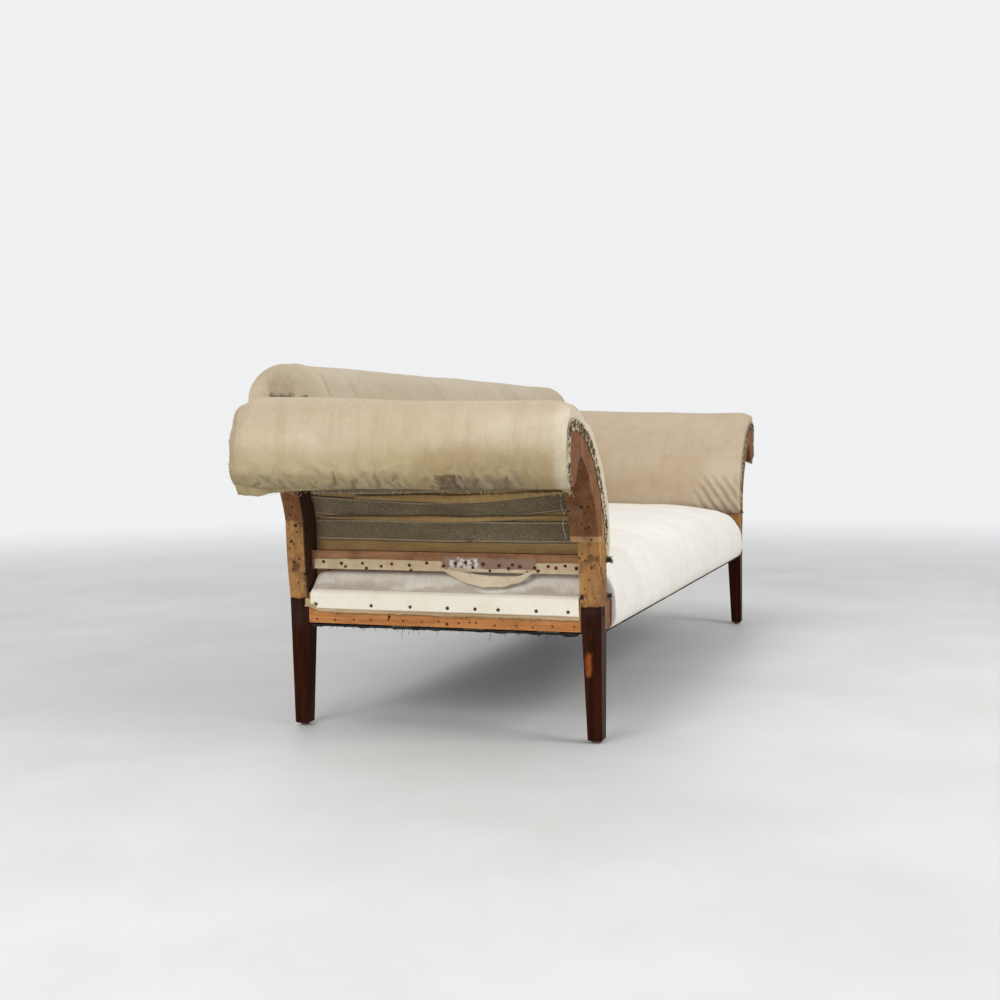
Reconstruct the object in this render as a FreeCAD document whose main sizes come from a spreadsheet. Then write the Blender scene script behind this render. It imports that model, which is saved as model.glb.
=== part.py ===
import FreeCAD, Part
import math
import os
from FreeCAD import Placement, Rotation, Vector

# A scroll-arm couch with a scrolled back, stripped to its calico.
# Row frame: X runs along the couch, the sitter faces -Y, Z is up, and the floor is Z = 0.
# Two local frames serve both ends: u is the distance outward from the outer face of a leg,
# and v is the distance rearward from the rear face of a rear leg; b is measured rearward
# from the front face of a front leg.

DIMENSIONS = {
    "frame_length": 2050,
    "frame_depth": 770,
    "front_overhang": 15,
    "rear_overhang": 103,
    "timber": 48,
    "foot": 34,
    "foot_bevel": 3,
    "glide_height": 6,
    "glide_radius": 12,
    "stain_height": 305,
    "rail_bottom": 251,
    "rail_height": 72,
    "rail_thickness": 28,
    "rail_recess": 1.5,
    "back_rail_recess": 15,
    "back_rail_thickness": 30,
    "brace_width": 40,
    "brace_height": 30,
    "brace_offset": 380,
    "block_height": 40,
    "block_rise": 12,
    "stuff_rail_bottom": 378,
    "stuff_rail_height": 45,
    "stuff_rail_thickness": 26,
    "lip_rail_thickness": 22,
    "lip_rail_height": 64,
    "lip_rail_bottom": 615,
    "lip_rail_reach": 268,
    "board_overhang": 17,
    "upright_thickness": 32,
    "upright_front": 75,
    "middle_upright_offset": 340,
    "back_stuff_bottom": 395,
    "back_stuff_thickness": 25,
    "crest_width": 50,
    "crest_height": 24,
    "crest_bottom": 806,
    "back_lip_thickness": 20,
    "back_lip_height": 56,
    "back_lip_bottom": 745,
    "back_lip_rear": 86,
    "peg_diameter": 10,
    "peg_length": 40,
    "peg_gap": 0.05,
    "web_width": 51,
    "web_thickness": 1.6,
    "cloth": 1.2,
    "clearance": 0.3,
    "spring_height": 133,
    "spring_end_radius": 45,
    "spring_waist_radius": 27,
    "spring_wire": 4,
    "spring_columns": 10,
    "spring_rows": 3,
    "spring_pitch_long": 190,
    "spring_pitch_deep": 180,
    "first_spring_row": 125,
    "tack_head_radius": 4.5,
    "tack_shank_radius": 1,
    "tack_length": 12,
}

doc = FreeCAD.newDocument("recamier")
dims = doc.addObject("Spreadsheet::Sheet", "dims")
for row, (alias, value) in enumerate(DIMENSIONS.items(), start=1):
    dims.set("A" + str(row), alias)
    dims.set("B" + str(row), str(value))
    dims.setAlias("B" + str(row), alias)
doc.recompute()


def dim(alias):
    """The value of one cell of the sheet."""
    return float(dims.get(alias))


HALF = dim("frame_length") / 2
FRONT = -(dim("frame_depth") + dim("rear_overhang") - dim("front_overhang")) / 2
REAR = FRONT + dim("frame_depth")
TIMBER = dim("timber")
STAIN = dim("stain_height")
RAIL_TOP = dim("rail_bottom") + dim("rail_height")
GAP = dim("clearance")
CLOTH = dim("cloth")

# The same places as formulas of the sheet, for everything that is bound to it.
FRONT_FACE = "-(dims.frame_depth + dims.rear_overhang - dims.front_overhang) / 2"
REAR_FACE = FRONT_FACE + " + dims.frame_depth"
SIDES = {"left": -1, "right": 1}

NODES = {}
PEGS = []


# Paths: a start point, then for each step the point it bows through (None if straight) and its end

def corners(path):
    """The points where the steps of a path meet."""
    return [path[0]] + [end for _, end in path[1:]]


def backwards(path):
    """The same path from its end to its start."""
    points = corners(path)
    turned = [points[-1]]
    for step in range(len(path) - 1, 0, -1):
        turned.append((path[step][0], points[step - 1]))
    return turned


def closed(*paths):
    """One closed outline: the paths in turn, with straight steps between them."""
    outline = list(paths[0])
    for path in paths[1:]:
        if math.dist(corners(outline)[-1], path[0]) > 1e-6:
            outline.append((None, path[0]))
        outline.extend(path[1:])
    if math.dist(corners(outline)[-1], outline[0]) > 1e-6:
        outline.append((None, outline[0]))
    return outline


def polygon(*points):
    """A closed outline with straight sides."""
    return closed([points[0]] + [(None, point) for point in points[1:]])


def circle_centre(a, m, b):
    """The centre of the circle through three points."""
    d = 2 * (a[0] * (m[1] - b[1]) + m[0] * (b[1] - a[1]) + b[0] * (a[1] - m[1]))
    squares = [p[0] ** 2 + p[1] ** 2 for p in (a, m, b)]
    x = (squares[0] * (m[1] - b[1]) + squares[1] * (b[1] - a[1]) + squares[2] * (a[1] - m[1])) / d
    y = (squares[0] * (b[0] - m[0]) + squares[1] * (a[0] - b[0]) + squares[2] * (m[0] - a[0])) / d
    return x, y


def left_normals(a, m, b):
    """Unit normals to the left of a step, at its start, middle and end."""
    if m is None:
        length = math.dist(a, b)
        normal = (-(b[1] - a[1]) / length, (b[0] - a[0]) / length)
        return normal, normal, normal
    centre = circle_centre(a, m, b)
    turn = (m[0] - a[0]) * (b[1] - m[1]) - (m[1] - a[1]) * (b[0] - m[0])
    sign = -1 if turn > 0 else 1
    radius = math.dist(centre, a)
    return [(sign * (p[0] - centre[0]) / radius, sign * (p[1] - centre[1]) / radius) for p in (a, m, b)]


def shifted(path, distance):
    """The path moved to its left by a distance, with as many steps as before."""
    points = corners(path)
    normals = [left_normals(points[k], path[k + 1][0], points[k + 1]) for k in range(len(path) - 1)]
    moved = []
    for k, point in enumerate(points):
        before = normals[k - 1][2] if k > 0 else normals[0][0]
        after = normals[k][0] if k < len(normals) else normals[-1][2]
        mean = ((before[0] + after[0]) / 2, (before[1] + after[1]) / 2)
        size = math.hypot(*mean)
        reach = distance / size ** 2
        moved.append((point[0] + mean[0] * reach, point[1] + mean[1] * reach))
    result = [moved[0]]
    for k, normal in enumerate(normals):
        bow = path[k + 1][0]
        if bow is not None:
            bow = (bow[0] + normal[1][0] * distance, bow[1] + normal[1][1] * distance)
        result.append((bow, moved[k + 1]))
    return result


def skin(path, inner, outer):
    """The closed outline of a thin sheet that lies along the left of a path."""
    return closed(shifted(path, outer), backwards(shifted(path, inner)))


def curves(path, place):
    """The lines and arcs of a path, with each of its points put in space by place."""
    made = []
    start = path[0]
    for bow, end in path[1:]:
        if bow is None:
            made.append(Part.LineSegment(place(start), place(end)))
        else:
            made.append(Part.Arc(place(start), place(bow), place(end)))
        start = end
    return made


def wire(path, place):
    """A closed path as a wire."""
    return Part.Wire([curve.toShape() for curve in curves(path, place)])


def prism(path, place, push):
    """A solid with a closed path as its section."""
    return Part.Face(wire(path, place)).extrude(push)


# Building blocks

def formula_placement(item, corner):
    """Binds where an object stands to formulas of the sheet."""
    for axis, formula in zip("xyz", corner):
        item.setExpression("Placement.Base." + axis, formula)


def box(name, size, corner):
    """A squared timber whose sizes and lowest corner are formulas of the sheet."""
    item = doc.addObject("Part::Box", name)
    for edge, formula in zip(("Length", "Width", "Height"), size):
        item.setExpression(edge, formula)
    formula_placement(item, corner)
    return item


def origin_plane(body, role):
    """One of a body's own origin planes."""
    return next(plane for plane in body.Origin.OriginFeatures if plane.Role == role)


def sketch(body, name, role, path, height=0):
    """A sketch of a closed path on one of the body's origin planes, or parallel to it."""
    drawn = body.newObject("Sketcher::SketchObject", name)
    drawn.AttachmentSupport = [(origin_plane(body, role), "")]
    drawn.MapMode = "FlatFace"
    drawn.AttachmentOffset = Placement(Vector(0, 0, height), Rotation())
    for curve in curves(path, lambda point: Vector(point[0], point[1], 0)):
        drawn.addGeometry(curve, False)
    return drawn


def pad(body, name, profile, length_formula, backward=False):
    """A pad whose length is a formula of the sheet."""
    raised = body.newObject("PartDesign::Pad", name)
    raised.Profile = profile
    raised.setExpression("Length", length_formula)
    raised.Reversed = backward
    profile.Visibility = False
    return raised


def board(name, role, path, thickness_formula, corner, backward=False):
    """A flat board: one sketched outline, padded to a thickness."""
    body = doc.addObject("PartDesign::Body", name)
    outline = sketch(body, name + "_outline", role, path)
    pad(body, name + "_pad", outline, thickness_formula, backward)
    formula_placement(body, corner)
    return body


def soft(name, shape):
    """A soft piece, whose shape was made from the sheet's values."""
    item = doc.addObject("Part::Feature", name)
    item.Shape = shape
    return item


def group(name, members):
    """Several like pieces in one node."""
    item = doc.addObject("Part::Compound", name)
    item.Links = members
    return item


def peg(point, direction, *joined):
    """Notes a round peg, centred on a joint, and the timbers that it joins."""
    PEGS.append((Vector(*point), Vector(*direction), joined))


def end_formula(sign, inset, width):
    """The low X of a piece that lies inset from a leg's outer face and is width wide."""
    if sign < 0:
        return "-dims.frame_length / 2 + (" + inset + ")"
    return "dims.frame_length / 2 - (" + inset + ") - (" + width + ")"


def at_end(sign, y):
    """Puts points (u, z) of an end's section in the row frame, at one Y."""
    return lambda point: Vector(sign * (HALF + point[0]), y, point[1])


def at_back(x):
    """Puts points (v, z) of the back's section in the row frame, at one X."""
    return lambda point: Vector(x, REAR + point[0], point[1])


def at_seat(x):
    """Puts points (b, z) of the seat's section in the row frame, at one X."""
    return lambda point: Vector(x, FRONT + point[0], point[1])


# The arm's outlines in (u, z)

POST_TOP = 588
POST_INNER = [(-TIMBER, 455), ((-40.5, 505), (-22, 548)), ((-10.5, 567.5), (2, POST_TOP))]
SHOULDERS = {"front": (18, 456), "rear": (20, 496)}
SCROLL_TOP = [
    (2, POST_TOP),
    ((18.5, 610.5), (36, 632)),
    ((78, 672), (130, 701)),
    ((175, 717), (222, 723)),
    ((255, 716), (270, 690)),
    (None, (273, 640)),
    ((268, 608), (250, 593)),
]
SCROLL_CROOK = [
    ((162, 649), (181, 641)),
    (None, (201, 610)),
    ((222, 589), (250, 593)),
]
SCROLL_UNDER = {
    "front": [SHOULDERS["front"], ((40, 520), (79, 573)), ((108, 612), (142, 638))] + SCROLL_CROOK,
    "rear": [SHOULDERS["rear"], ((31, 530), (52, 575)), ((90, 616), (142, 638))] + SCROLL_CROOK,
}


def scroll_joint(place):
    """Where a scroll board laps its post: in along the shoulder, then up to the post's top."""
    shoulder = SHOULDERS[place]
    return [shoulder, (None, (-10, shoulder[1])), ((3, 548), (22, POST_TOP))]


def post_outline(place):
    """A post above its leg, in (u, z)."""
    outer = [(-TIMBER, STAIN), (None, (0, STAIN)), ((10.5, 372), (17, 440))]
    return closed(outer, scroll_joint(place), backwards(POST_INNER))


def scroll_outline(place):
    """A scroll board, in (u, z)."""
    return closed(scroll_joint(place), SCROLL_TOP, backwards(SCROLL_UNDER[place]))


TUCK = 402
ARM_CORE = [(-TIMBER, TUCK), (None, POST_INNER[0])] + POST_INNER[1:] + SCROLL_TOP[1:]
ARM_PAD = [
    (-60, TUCK),
    ((-80, 425), (-84, 455)),
    ((-76, 510), (-57, 560)),
    ((-22, 613), (24, 658)),
    ((70, 701), (125, 735)),
    ((165, 759), (205, 771)),
    ((255, 761), (278, 716)),
    ((283, 668), (278, 622)),
    ((265, 594), (243, 583)),
]
TOP_RAIL = polygon((85, 675.5), (96.3, 654.3), (140.3, 677.8), (129, 699))
TOP_RAIL_CENTRE = (112.6, 676.7)
SCROLL_PEGS = ((-6.5, 512), (1.5, 542))

# The back's outlines in (v, z)

BACK_EDGE = [
    (-dim("upright_front"), 660),
    ((-66, 745), (-35, 803)),
    ((3, 832), (45, 831)),
    ((78, 820), (88, 788)),
    (None, (86, 745)),
    ((83, 731), (72, 724.5)),
    ((63.5, 726.5), (58, 735)),
]
BACK_UNDER = [
    (-5, RAIL_TOP),
    (None, (-10, 620)),
    ((-5, 700), (12, 762)),
    ((30, 778), (48, 768)),
    (None, (58, 735)),
]
UPRIGHT_OUTLINE = closed([(-dim("upright_front"), RAIL_TOP)] + [(None, BACK_EDGE[0])] + BACK_EDGE[1:],
                         backwards(BACK_UNDER))
BACK_CORE = [(-dim("upright_front"), TUCK), (None, BACK_EDGE[0])] + BACK_EDGE[1:-1]
BACK_PAD = [
    (-95, TUCK),
    ((-136, 412), (-150, 445)),
    ((-148, 560), (-138, 665)),
    ((-122, 765), (-97, 828)),
    ((-58, 861), (-8, 868.5)),
    ((45, 861), (86, 830)),
    ((101, 797), (98, 757)),
    ((90, 722), (70, 702)),
]

# The seat's outlines in (b, z), at an end of the seat; the middle is crowned

SEAT_BACK = 613
SEAT_UNDER = 392
SEAT_TOP = [
    (-13, 306),
    ((-9, 340), (6, 370)),
    ((30, 396), (80, 412)),
    ((180, 426), (330, 432)),
    ((470, 436), (582, 434)),
    ((606, 424), (SEAT_BACK, 398)),
]
SEAT_WRAP = [(26, 248.6), (None, (4, 248.6)), ((-9, 268), (-13, 306))]
SEAT_CROWN = 17


def crowned(path, crown):
    """The seat's section with its top raised: nothing at the front foot, all of it over the springs."""
    def raised(point):
        if point is None:
            return None
        share = min(max((point[1] - 370) / 50, 0), 1)
        return point[0], point[1] + crown * share
    return [raised(path[0])] + [(raised(bow), raised(end)) for bow, end in path[1:]]


# Legs, posts and scroll boards

REAR_TAPER = 8


def leg_section(sign, rear, share, bevel=0):
    """The leg's four corners in plan: share 0 at the foot, 1 at its top, drawn in by any bevel."""
    foot = dim("foot")
    side = foot + (TIMBER - foot) * share
    rear_taper = REAR_TAPER * (1 - share) if rear else 0
    front_taper = (TIMBER - foot) * (1 - share) - rear_taper
    low, high = (front_taper, TIMBER - rear_taper) if rear else (0, side)
    outer, inner = sign * (HALF - bevel), sign * (HALF - side + bevel)
    return polygon((outer, low + bevel), (inner, low + bevel), (inner, high - bevel), (outer, high - bevel))


def leg_post(name, sign, rear):
    """One timber from the floor to the arm: a tapered leg below, and a post that sweeps outward."""
    body = doc.addObject("PartDesign::Body", name)
    bevel = dim("foot_bevel")
    toe = dim("glide_height")
    sole = sketch(body, name + "_sole", "XY_Plane", leg_section(sign, rear, 0, bevel), toe)
    foot = sketch(body, name + "_foot", "XY_Plane", leg_section(sign, rear, 0), toe + bevel)
    top = sketch(body, name + "_top", "XY_Plane", leg_section(sign, rear, 1), STAIN)
    leg = body.newObject("PartDesign::AdditiveLoft", name + "_leg")
    leg.Profile = sole
    leg.Sections = [foot, top]
    leg.Ruled = True
    place = "rear" if rear else "front"
    post = sketch(body, name + "_post", "XZ_Plane", mirrored(post_outline(place), sign))
    pad(body, name + "_pad", post, "dims.timber", True)
    face = REAR_FACE + " - dims.timber" if rear else FRONT_FACE
    formula_placement(body, ("0", face, "0"))
    return body


def mirrored(path, sign):
    """A path in (u, z) as points (x, z) of one end."""
    def moved(point):
        return None if point is None else (sign * (HALF + point[0]), point[1])
    return [moved(path[0])] + [(moved(bow), moved(end)) for bow, end in path[1:]]


for side, sign in SIDES.items():
    for place, rear in (("front", False), ("rear", True)):
        ending = place + "_" + side
        face = REAR_FACE + " - dims.timber" if rear else FRONT_FACE
        NODES["leg_post_" + ending] = leg_post("leg_post_" + ending, sign, rear)
        NODES["scroll_board_" + ending] = board(
            "scroll_board_" + ending, "XZ_Plane", mirrored(scroll_outline(place), sign),
            "dims.timber" if rear else "dims.timber + dims.board_overhang", ("0", face, "0"), True)
        middle = (REAR if rear else FRONT + TIMBER) - TIMBER / 2
        for joint_u, joint_z in SCROLL_PEGS:
            peg((sign * (HALF + joint_u), middle, joint_z), (1, 0, 0),
                "leg_post_" + ending, "scroll_board_" + ending)


# Rails of the seat and of each end

BETWEEN_POSTS = "dims.frame_depth - 2 * dims.timber"
BEHIND_FRONT_POST = FRONT_FACE + " + dims.timber"
BETWEEN_BOARDS = BETWEEN_POSTS + " - dims.board_overhang"
BEHIND_FRONT_BOARD = BEHIND_FRONT_POST + " + dims.board_overhang"
JOINT_Y = {"front": FRONT + TIMBER, "rear": REAR - TIMBER}
BOARD_JOINT_Y = {"front": FRONT + TIMBER + dim("board_overhang"), "rear": REAR - TIMBER}
PEG_SHARES = (0.28, 0.72)
PEG_STAGGER = 12
seat_joints = [dim("rail_bottom") + dim("rail_height") * share for share in PEG_SHARES]

for side, sign in SIDES.items():
    rail = "seat_end_rail_" + side
    NODES[rail] = box(rail, ("dims.rail_thickness", BETWEEN_POSTS, "dims.rail_height"),
                      (end_formula(sign, "dims.rail_recess", "dims.rail_thickness"),
                       BEHIND_FRONT_POST, "dims.rail_bottom"))
    stuff = "arm_stuff_rail_" + side
    NODES[stuff] = box(stuff, ("dims.stuff_rail_thickness", BETWEEN_POSTS, "dims.stuff_rail_height"),
                       (end_formula(sign, "dims.timber - dims.stuff_rail_thickness",
                                    "dims.stuff_rail_thickness"),
                        BEHIND_FRONT_POST, "dims.stuff_rail_bottom"))
    lip = "arm_lip_rail_" + side
    NODES[lip] = box(lip, ("dims.lip_rail_thickness", BETWEEN_BOARDS, "dims.lip_rail_height"),
                     (end_formula(sign, "-dims.lip_rail_reach", "dims.lip_rail_thickness"),
                      BEHIND_FRONT_BOARD, "dims.lip_rail_bottom"))
    top = "arm_top_rail_" + side
    NODES[top] = board(top, "XZ_Plane", mirrored(TOP_RAIL, sign), BETWEEN_BOARDS,
                       ("0", BEHIND_FRONT_BOARD, "0"), True)
    rail_u = -dim("rail_recess") - dim("rail_thickness") / 2
    stuff_u = -TIMBER + dim("stuff_rail_thickness") / 2
    stuff_z = dim("stuff_rail_bottom") + dim("stuff_rail_height") / 2
    lip_u = dim("lip_rail_reach") - dim("lip_rail_thickness") / 2
    lip_z = dim("lip_rail_bottom") + dim("lip_rail_height") / 2
    for place, joint_y in JOINT_Y.items():
        ending = place + "_" + side
        for joint_z in seat_joints:
            peg((sign * (HALF + rail_u), joint_y, joint_z), (0, 1, 0), rail, "leg_post_" + ending)
        peg((sign * (HALF + stuff_u), joint_y, stuff_z), (0, 1, 0), stuff, "leg_post_" + ending)
        board_y = BOARD_JOINT_Y[place]
        peg((sign * (HALF + lip_u), board_y, lip_z), (0, 1, 0), lip, "scroll_board_" + ending)
        top_u, top_z = TOP_RAIL_CENTRE
        peg((sign * (HALF + top_u), board_y, top_z), (0, 1, 0), top, "scroll_board_" + ending)

BETWEEN_ENDS = "dims.frame_length - 2 * dims.timber"
PAST_LEFT_POST = "-dims.frame_length / 2 + dims.timber"
NODES["seat_front_rail"] = box(
    "seat_front_rail", (BETWEEN_ENDS, "dims.rail_thickness", "dims.rail_height"),
    (PAST_LEFT_POST, FRONT_FACE + " + dims.rail_recess", "dims.rail_bottom"))
NODES["seat_back_rail"] = box(
    "seat_back_rail", (BETWEEN_ENDS, "dims.back_rail_thickness", "dims.rail_height"),
    (PAST_LEFT_POST, REAR_FACE + " - dims.back_rail_recess - dims.back_rail_thickness",
     "dims.rail_bottom"))
front_rail_y = FRONT + dim("rail_recess") + dim("rail_thickness") / 2
back_rail_y = REAR - dim("back_rail_recess") - dim("back_rail_thickness") / 2
for side, sign in SIDES.items():
    for joint_z in [z - PEG_STAGGER for z in seat_joints]:
        joint_x = sign * (HALF - TIMBER)
        peg((joint_x, front_rail_y, joint_z), (1, 0, 0), "seat_front_rail", "leg_post_front_" + side)
        peg((joint_x, back_rail_y, joint_z), (1, 0, 0), "seat_back_rail", "leg_post_rear_" + side)
    brace = "seat_brace_" + side
    low_x = ("-" if sign < 0 else "") + "dims.brace_offset - dims.brace_width / 2"
    NODES[brace] = box(
        brace,
        ("dims.brace_width",
         "dims.frame_depth - dims.rail_recess - dims.rail_thickness - dims.back_rail_recess"
         " - dims.back_rail_thickness", "dims.brace_height"),
        (low_x, FRONT_FACE + " + dims.rail_recess + dims.rail_thickness", "dims.rail_bottom"))
    brace_z = dim("rail_bottom") + dim("brace_height") / 2
    brace_x = sign * dim("brace_offset")
    front_inner = FRONT + dim("rail_recess") + dim("rail_thickness")
    back_inner = REAR - dim("back_rail_recess") - dim("back_rail_thickness")
    peg((brace_x, front_inner, brace_z), (0, 1, 0), brace, "seat_front_rail")
    peg((brace_x, back_inner, brace_z), (0, 1, 0), brace, "seat_back_rail")

# A corner block is a short plank set across each inner corner, behind the post.
BLOCK_NEAR = 104
BLOCK_FAR = {"front": 150, "rear": 170}
for side, sign in SIDES.items():
    end_inset = dim("rail_recess") + dim("rail_thickness")
    for place, depth_inset in (("front", end_inset),
                               ("rear", dim("back_rail_recess") + dim("back_rail_thickness"))):
        far = BLOCK_FAR[place]
        toward = 1 if place == "front" else -1
        edge = FRONT if place == "front" else REAR
        plan = [(end_inset, BLOCK_NEAR - end_inset), (end_inset, far - end_inset),
                (far - depth_inset, depth_inset), (BLOCK_NEAR - depth_inset, depth_inset)]
        points = [(sign * (HALF - a), edge + toward * b) for a, b in plan]
        name = "corner_block_" + place + "_" + side
        NODES[name] = board(name, "XY_Plane", polygon(*points), "dims.block_height",
                            ("0", "0", "dims.rail_bottom + dims.block_rise"))

# Back uprights and the rails that they carry

UPRIGHT_PEGS = (352, 432)
HOUSING_RUNOUT = 12
back_rails = {
    "back_stuff_rail": (("dims.back_stuff_thickness", "dims.stuff_rail_height"),
                        (REAR_FACE + " - dims.upright_front", "dims.back_stuff_bottom")),
    "back_crest_rail": (("dims.crest_width", "dims.crest_height"), (REAR_FACE, "dims.crest_bottom")),
    "back_lip_rail": (("dims.back_lip_thickness", "dims.back_lip_height"),
                      (REAR_FACE + " + dims.back_lip_rear - dims.back_lip_thickness",
                       "dims.back_lip_bottom")),
}
for name, (section, corner) in back_rails.items():
    NODES[name] = box(name, (BETWEEN_ENDS + " - 2 * dims.upright_thickness",) + section,
                      (PAST_LEFT_POST + " + dims.upright_thickness",) + corner)
doc.recompute()

for side, sign in SIDES.items():
    upright = "back_end_upright_" + side
    low_x = end_formula(sign, "dims.timber", "dims.upright_thickness")
    outline = [(None if bow is None else (REAR + bow[0], bow[1]), (REAR + end[0], end[1]))
               for bow, end in UPRIGHT_OUTLINE[1:]]
    path = [(REAR + UPRIGHT_OUTLINE[0][0], UPRIGHT_OUTLINE[0][1])] + outline
    NODES[upright] = board(upright, "YZ_Plane", path, "dims.upright_thickness", (low_x, "0", "0"))
    post_x = sign * (HALF - TIMBER)
    for joint_z in UPRIGHT_PEGS:
        peg((post_x, REAR - TIMBER / 2, joint_z), (1, 0, 0), upright, "leg_post_rear_" + side)
    inner_x = sign * (HALF - TIMBER - dim("upright_thickness"))
    peg((sign * (HALF - TIMBER - dim("upright_thickness") / 2), back_rail_y, RAIL_TOP), (0, 0, 1),
        upright, "seat_back_rail")
    for name in back_rails:
        centre = NODES[name].Shape.BoundBox.Center
        peg((inner_x, centre.y, centre.z), (1, 0, 0), name, upright)
    middle = "back_middle_upright_" + side
    low_x = ("-" if sign < 0 else "") + "dims.middle_upright_offset - dims.upright_thickness / 2"
    blank = board(middle + "_blank", "YZ_Plane", path, "dims.upright_thickness", (low_x, "0", "0"))
    peg((sign * dim("middle_upright_offset"), back_rail_y, RAIL_TOP), (0, 0, 1),
        middle, "seat_back_rail")
    housings = []
    for name, reach in (("back_stuff_rail", Vector(0, -1, 0)), ("back_crest_rail", Vector(0, 0, 1)),
                        ("back_lip_rail", Vector(0, 1, 0))):
        seat = NODES[name].Shape.BoundBox
        housing = doc.addObject("Part::Feature", middle + "_housing_" + name)
        block = Part.makeBox(seat.XLength, seat.YLength + 2 * GAP, seat.ZLength + 2 * GAP,
                             Vector(seat.XMin, seat.YMin - GAP, seat.ZMin - GAP))
        housing.Shape = block.fuse(block.translated(reach * HOUSING_RUNOUT))
        housings.append(housing)
    NODES[middle] = doc.addObject("Part::Cut", middle)
    NODES[middle].Base = blank
    NODES[middle].Tool = group(middle + "_housings", housings)


# Webbing, hessian and springs

def point_along(path, distance):
    """The point at a distance from the start of a path."""
    for curve in curves(path, lambda point: Vector(point[0], point[1], 0)):
        length = curve.length()
        if distance <= length:
            found = curve.value(curve.parameterAtDistance(distance, curve.FirstParameter))
            return found.x, found.y
        distance -= length
    return corners(path)[-1]


def band(path, start, width):
    """The stretch of a path that one band of webbing lies along."""
    first, middle, last = [point_along(path, start + width * share) for share in (0, 0.5, 1)]
    return skin([first, (middle, last)], GAP, GAP + dim("web_thickness"))


ARM_BANDS = (43, 106, 168)
HESSIAN = 1
WEB_INNER = dim("web_thickness") + 5 * GAP
PAD_INNER = WEB_INNER + HESSIAN + GAP
UPRIGHT_CLEAR = dim("upright_front") + 7
BAND_MARGIN = 8
for side, sign in SIDES.items():
    start_y = FRONT + BAND_MARGIN
    run = REAR - UPRIGHT_CLEAR - start_y
    bands = [prism(band(ARM_CORE, start, dim("web_width")), at_end(sign, start_y), Vector(0, run, 0))
             for start in ARM_BANDS]
    NODES["arm_webbing_" + side] = soft("arm_webbing_" + side, Part.makeCompound(bands))

web = dim("web_width")
spring_x = [(k - (dim("spring_columns") - 1) / 2) * dim("spring_pitch_long")
            for k in range(int(dim("spring_columns")))]
spring_y = [FRONT + dim("first_spring_row") + k * dim("spring_pitch_deep")
            for k in range(int(dim("spring_rows")))]
web_top = dim("rail_bottom") - GAP
WEB_START = 5
WEB_SHORT_OF_BACK = 25
cross_bands = [Part.makeBox(web, dim("frame_depth") - WEB_START - WEB_SHORT_OF_BACK, dim("web_thickness"),
                            Vector(x - web / 2, FRONT + WEB_START, web_top - dim("web_thickness")))
               for x in spring_x]
long_top = web_top - dim("web_thickness") - GAP
long_bands = [Part.makeBox(2 * (HALF - WEB_START), web, dim("web_thickness"),
                           Vector(WEB_START - HALF, y - web / 2, long_top - dim("web_thickness")))
              for y in spring_y]
NODES["seat_webbing"] = soft("seat_webbing", Part.makeCompound(cross_bands + long_bands))

back_band_path = [(-dim("upright_front"), dim("back_stuff_bottom")), (None, BACK_EDGE[0])] + BACK_EDGE[1:3]
band_section = skin(back_band_path, GAP, GAP + dim("web_thickness"))
back_bands = [prism(band_section, at_back(x + (dim("spring_pitch_long") - web) / 2), Vector(web, 0, 0))
              for x in spring_x[:-1]]
NODES["back_webbing"] = soft("back_webbing", Part.makeCompound(back_bands))


def spring_profile():
    """Half the section of an hourglass spring, wide at both ends and drawn in at its waist."""
    tall = dim("spring_height")
    wide = dim("spring_end_radius")
    waist = dim("spring_waist_radius")
    inset = dim("spring_wire")
    outside = [(wide, 0), ((waist, tall / 2), (wide, tall))]
    inside = [(wide - inset, tall), ((waist - inset, tall / 2), (wide - inset, 0))]
    return closed(outside, inside)


sleeve = Part.Face(wire(spring_profile(), lambda point: Vector(point[0], 0, point[1])))
spring = sleeve.revolve(Vector(0, 0, 0), Vector(0, 0, 1), 360)
springs = []
for x in spring_x:
    for y in spring_y:
        springs.append(spring.translated(Vector(x, y, dim("rail_bottom") + GAP)))
NODES["seat_springs"] = soft("seat_springs", Part.makeCompound(springs))

SHEET_MARGIN = 4
BACK_SHEET_MARGIN = 50
arm_sheet = skin(ARM_CORE[:-1], WEB_INNER, WEB_INNER + HESSIAN)
for side, sign in SIDES.items():
    NODES["arm_hessian_" + side] = soft(
        "arm_hessian_" + side, prism(arm_sheet, at_end(sign, FRONT + SHEET_MARGIN),
                                     Vector(0, REAR - FRONT - 2 * SHEET_MARGIN, 0)))
SPRING_SHEET_X = HALF - 92
SPRING_SHEET_FRONT = 62
SPRING_SHEET_DEPTH = 548
hessian_low = dim("rail_bottom") + GAP + dim("spring_height") + 2 * GAP
NODES["spring_hessian"] = soft("spring_hessian", Part.makeBox(
    2 * SPRING_SHEET_X, SPRING_SHEET_DEPTH, HESSIAN,
    Vector(-SPRING_SHEET_X, FRONT + SPRING_SHEET_FRONT, hessian_low)))
back_sheet = skin(BACK_CORE[:-1], WEB_INNER, WEB_INNER + HESSIAN)
NODES["back_hessian"] = soft("back_hessian", prism(
    back_sheet, at_back(BACK_SHEET_MARGIN - HALF), Vector(2 * (HALF - BACK_SHEET_MARGIN), 0, 0)))

# Stuffing and calico of the arms

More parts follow.
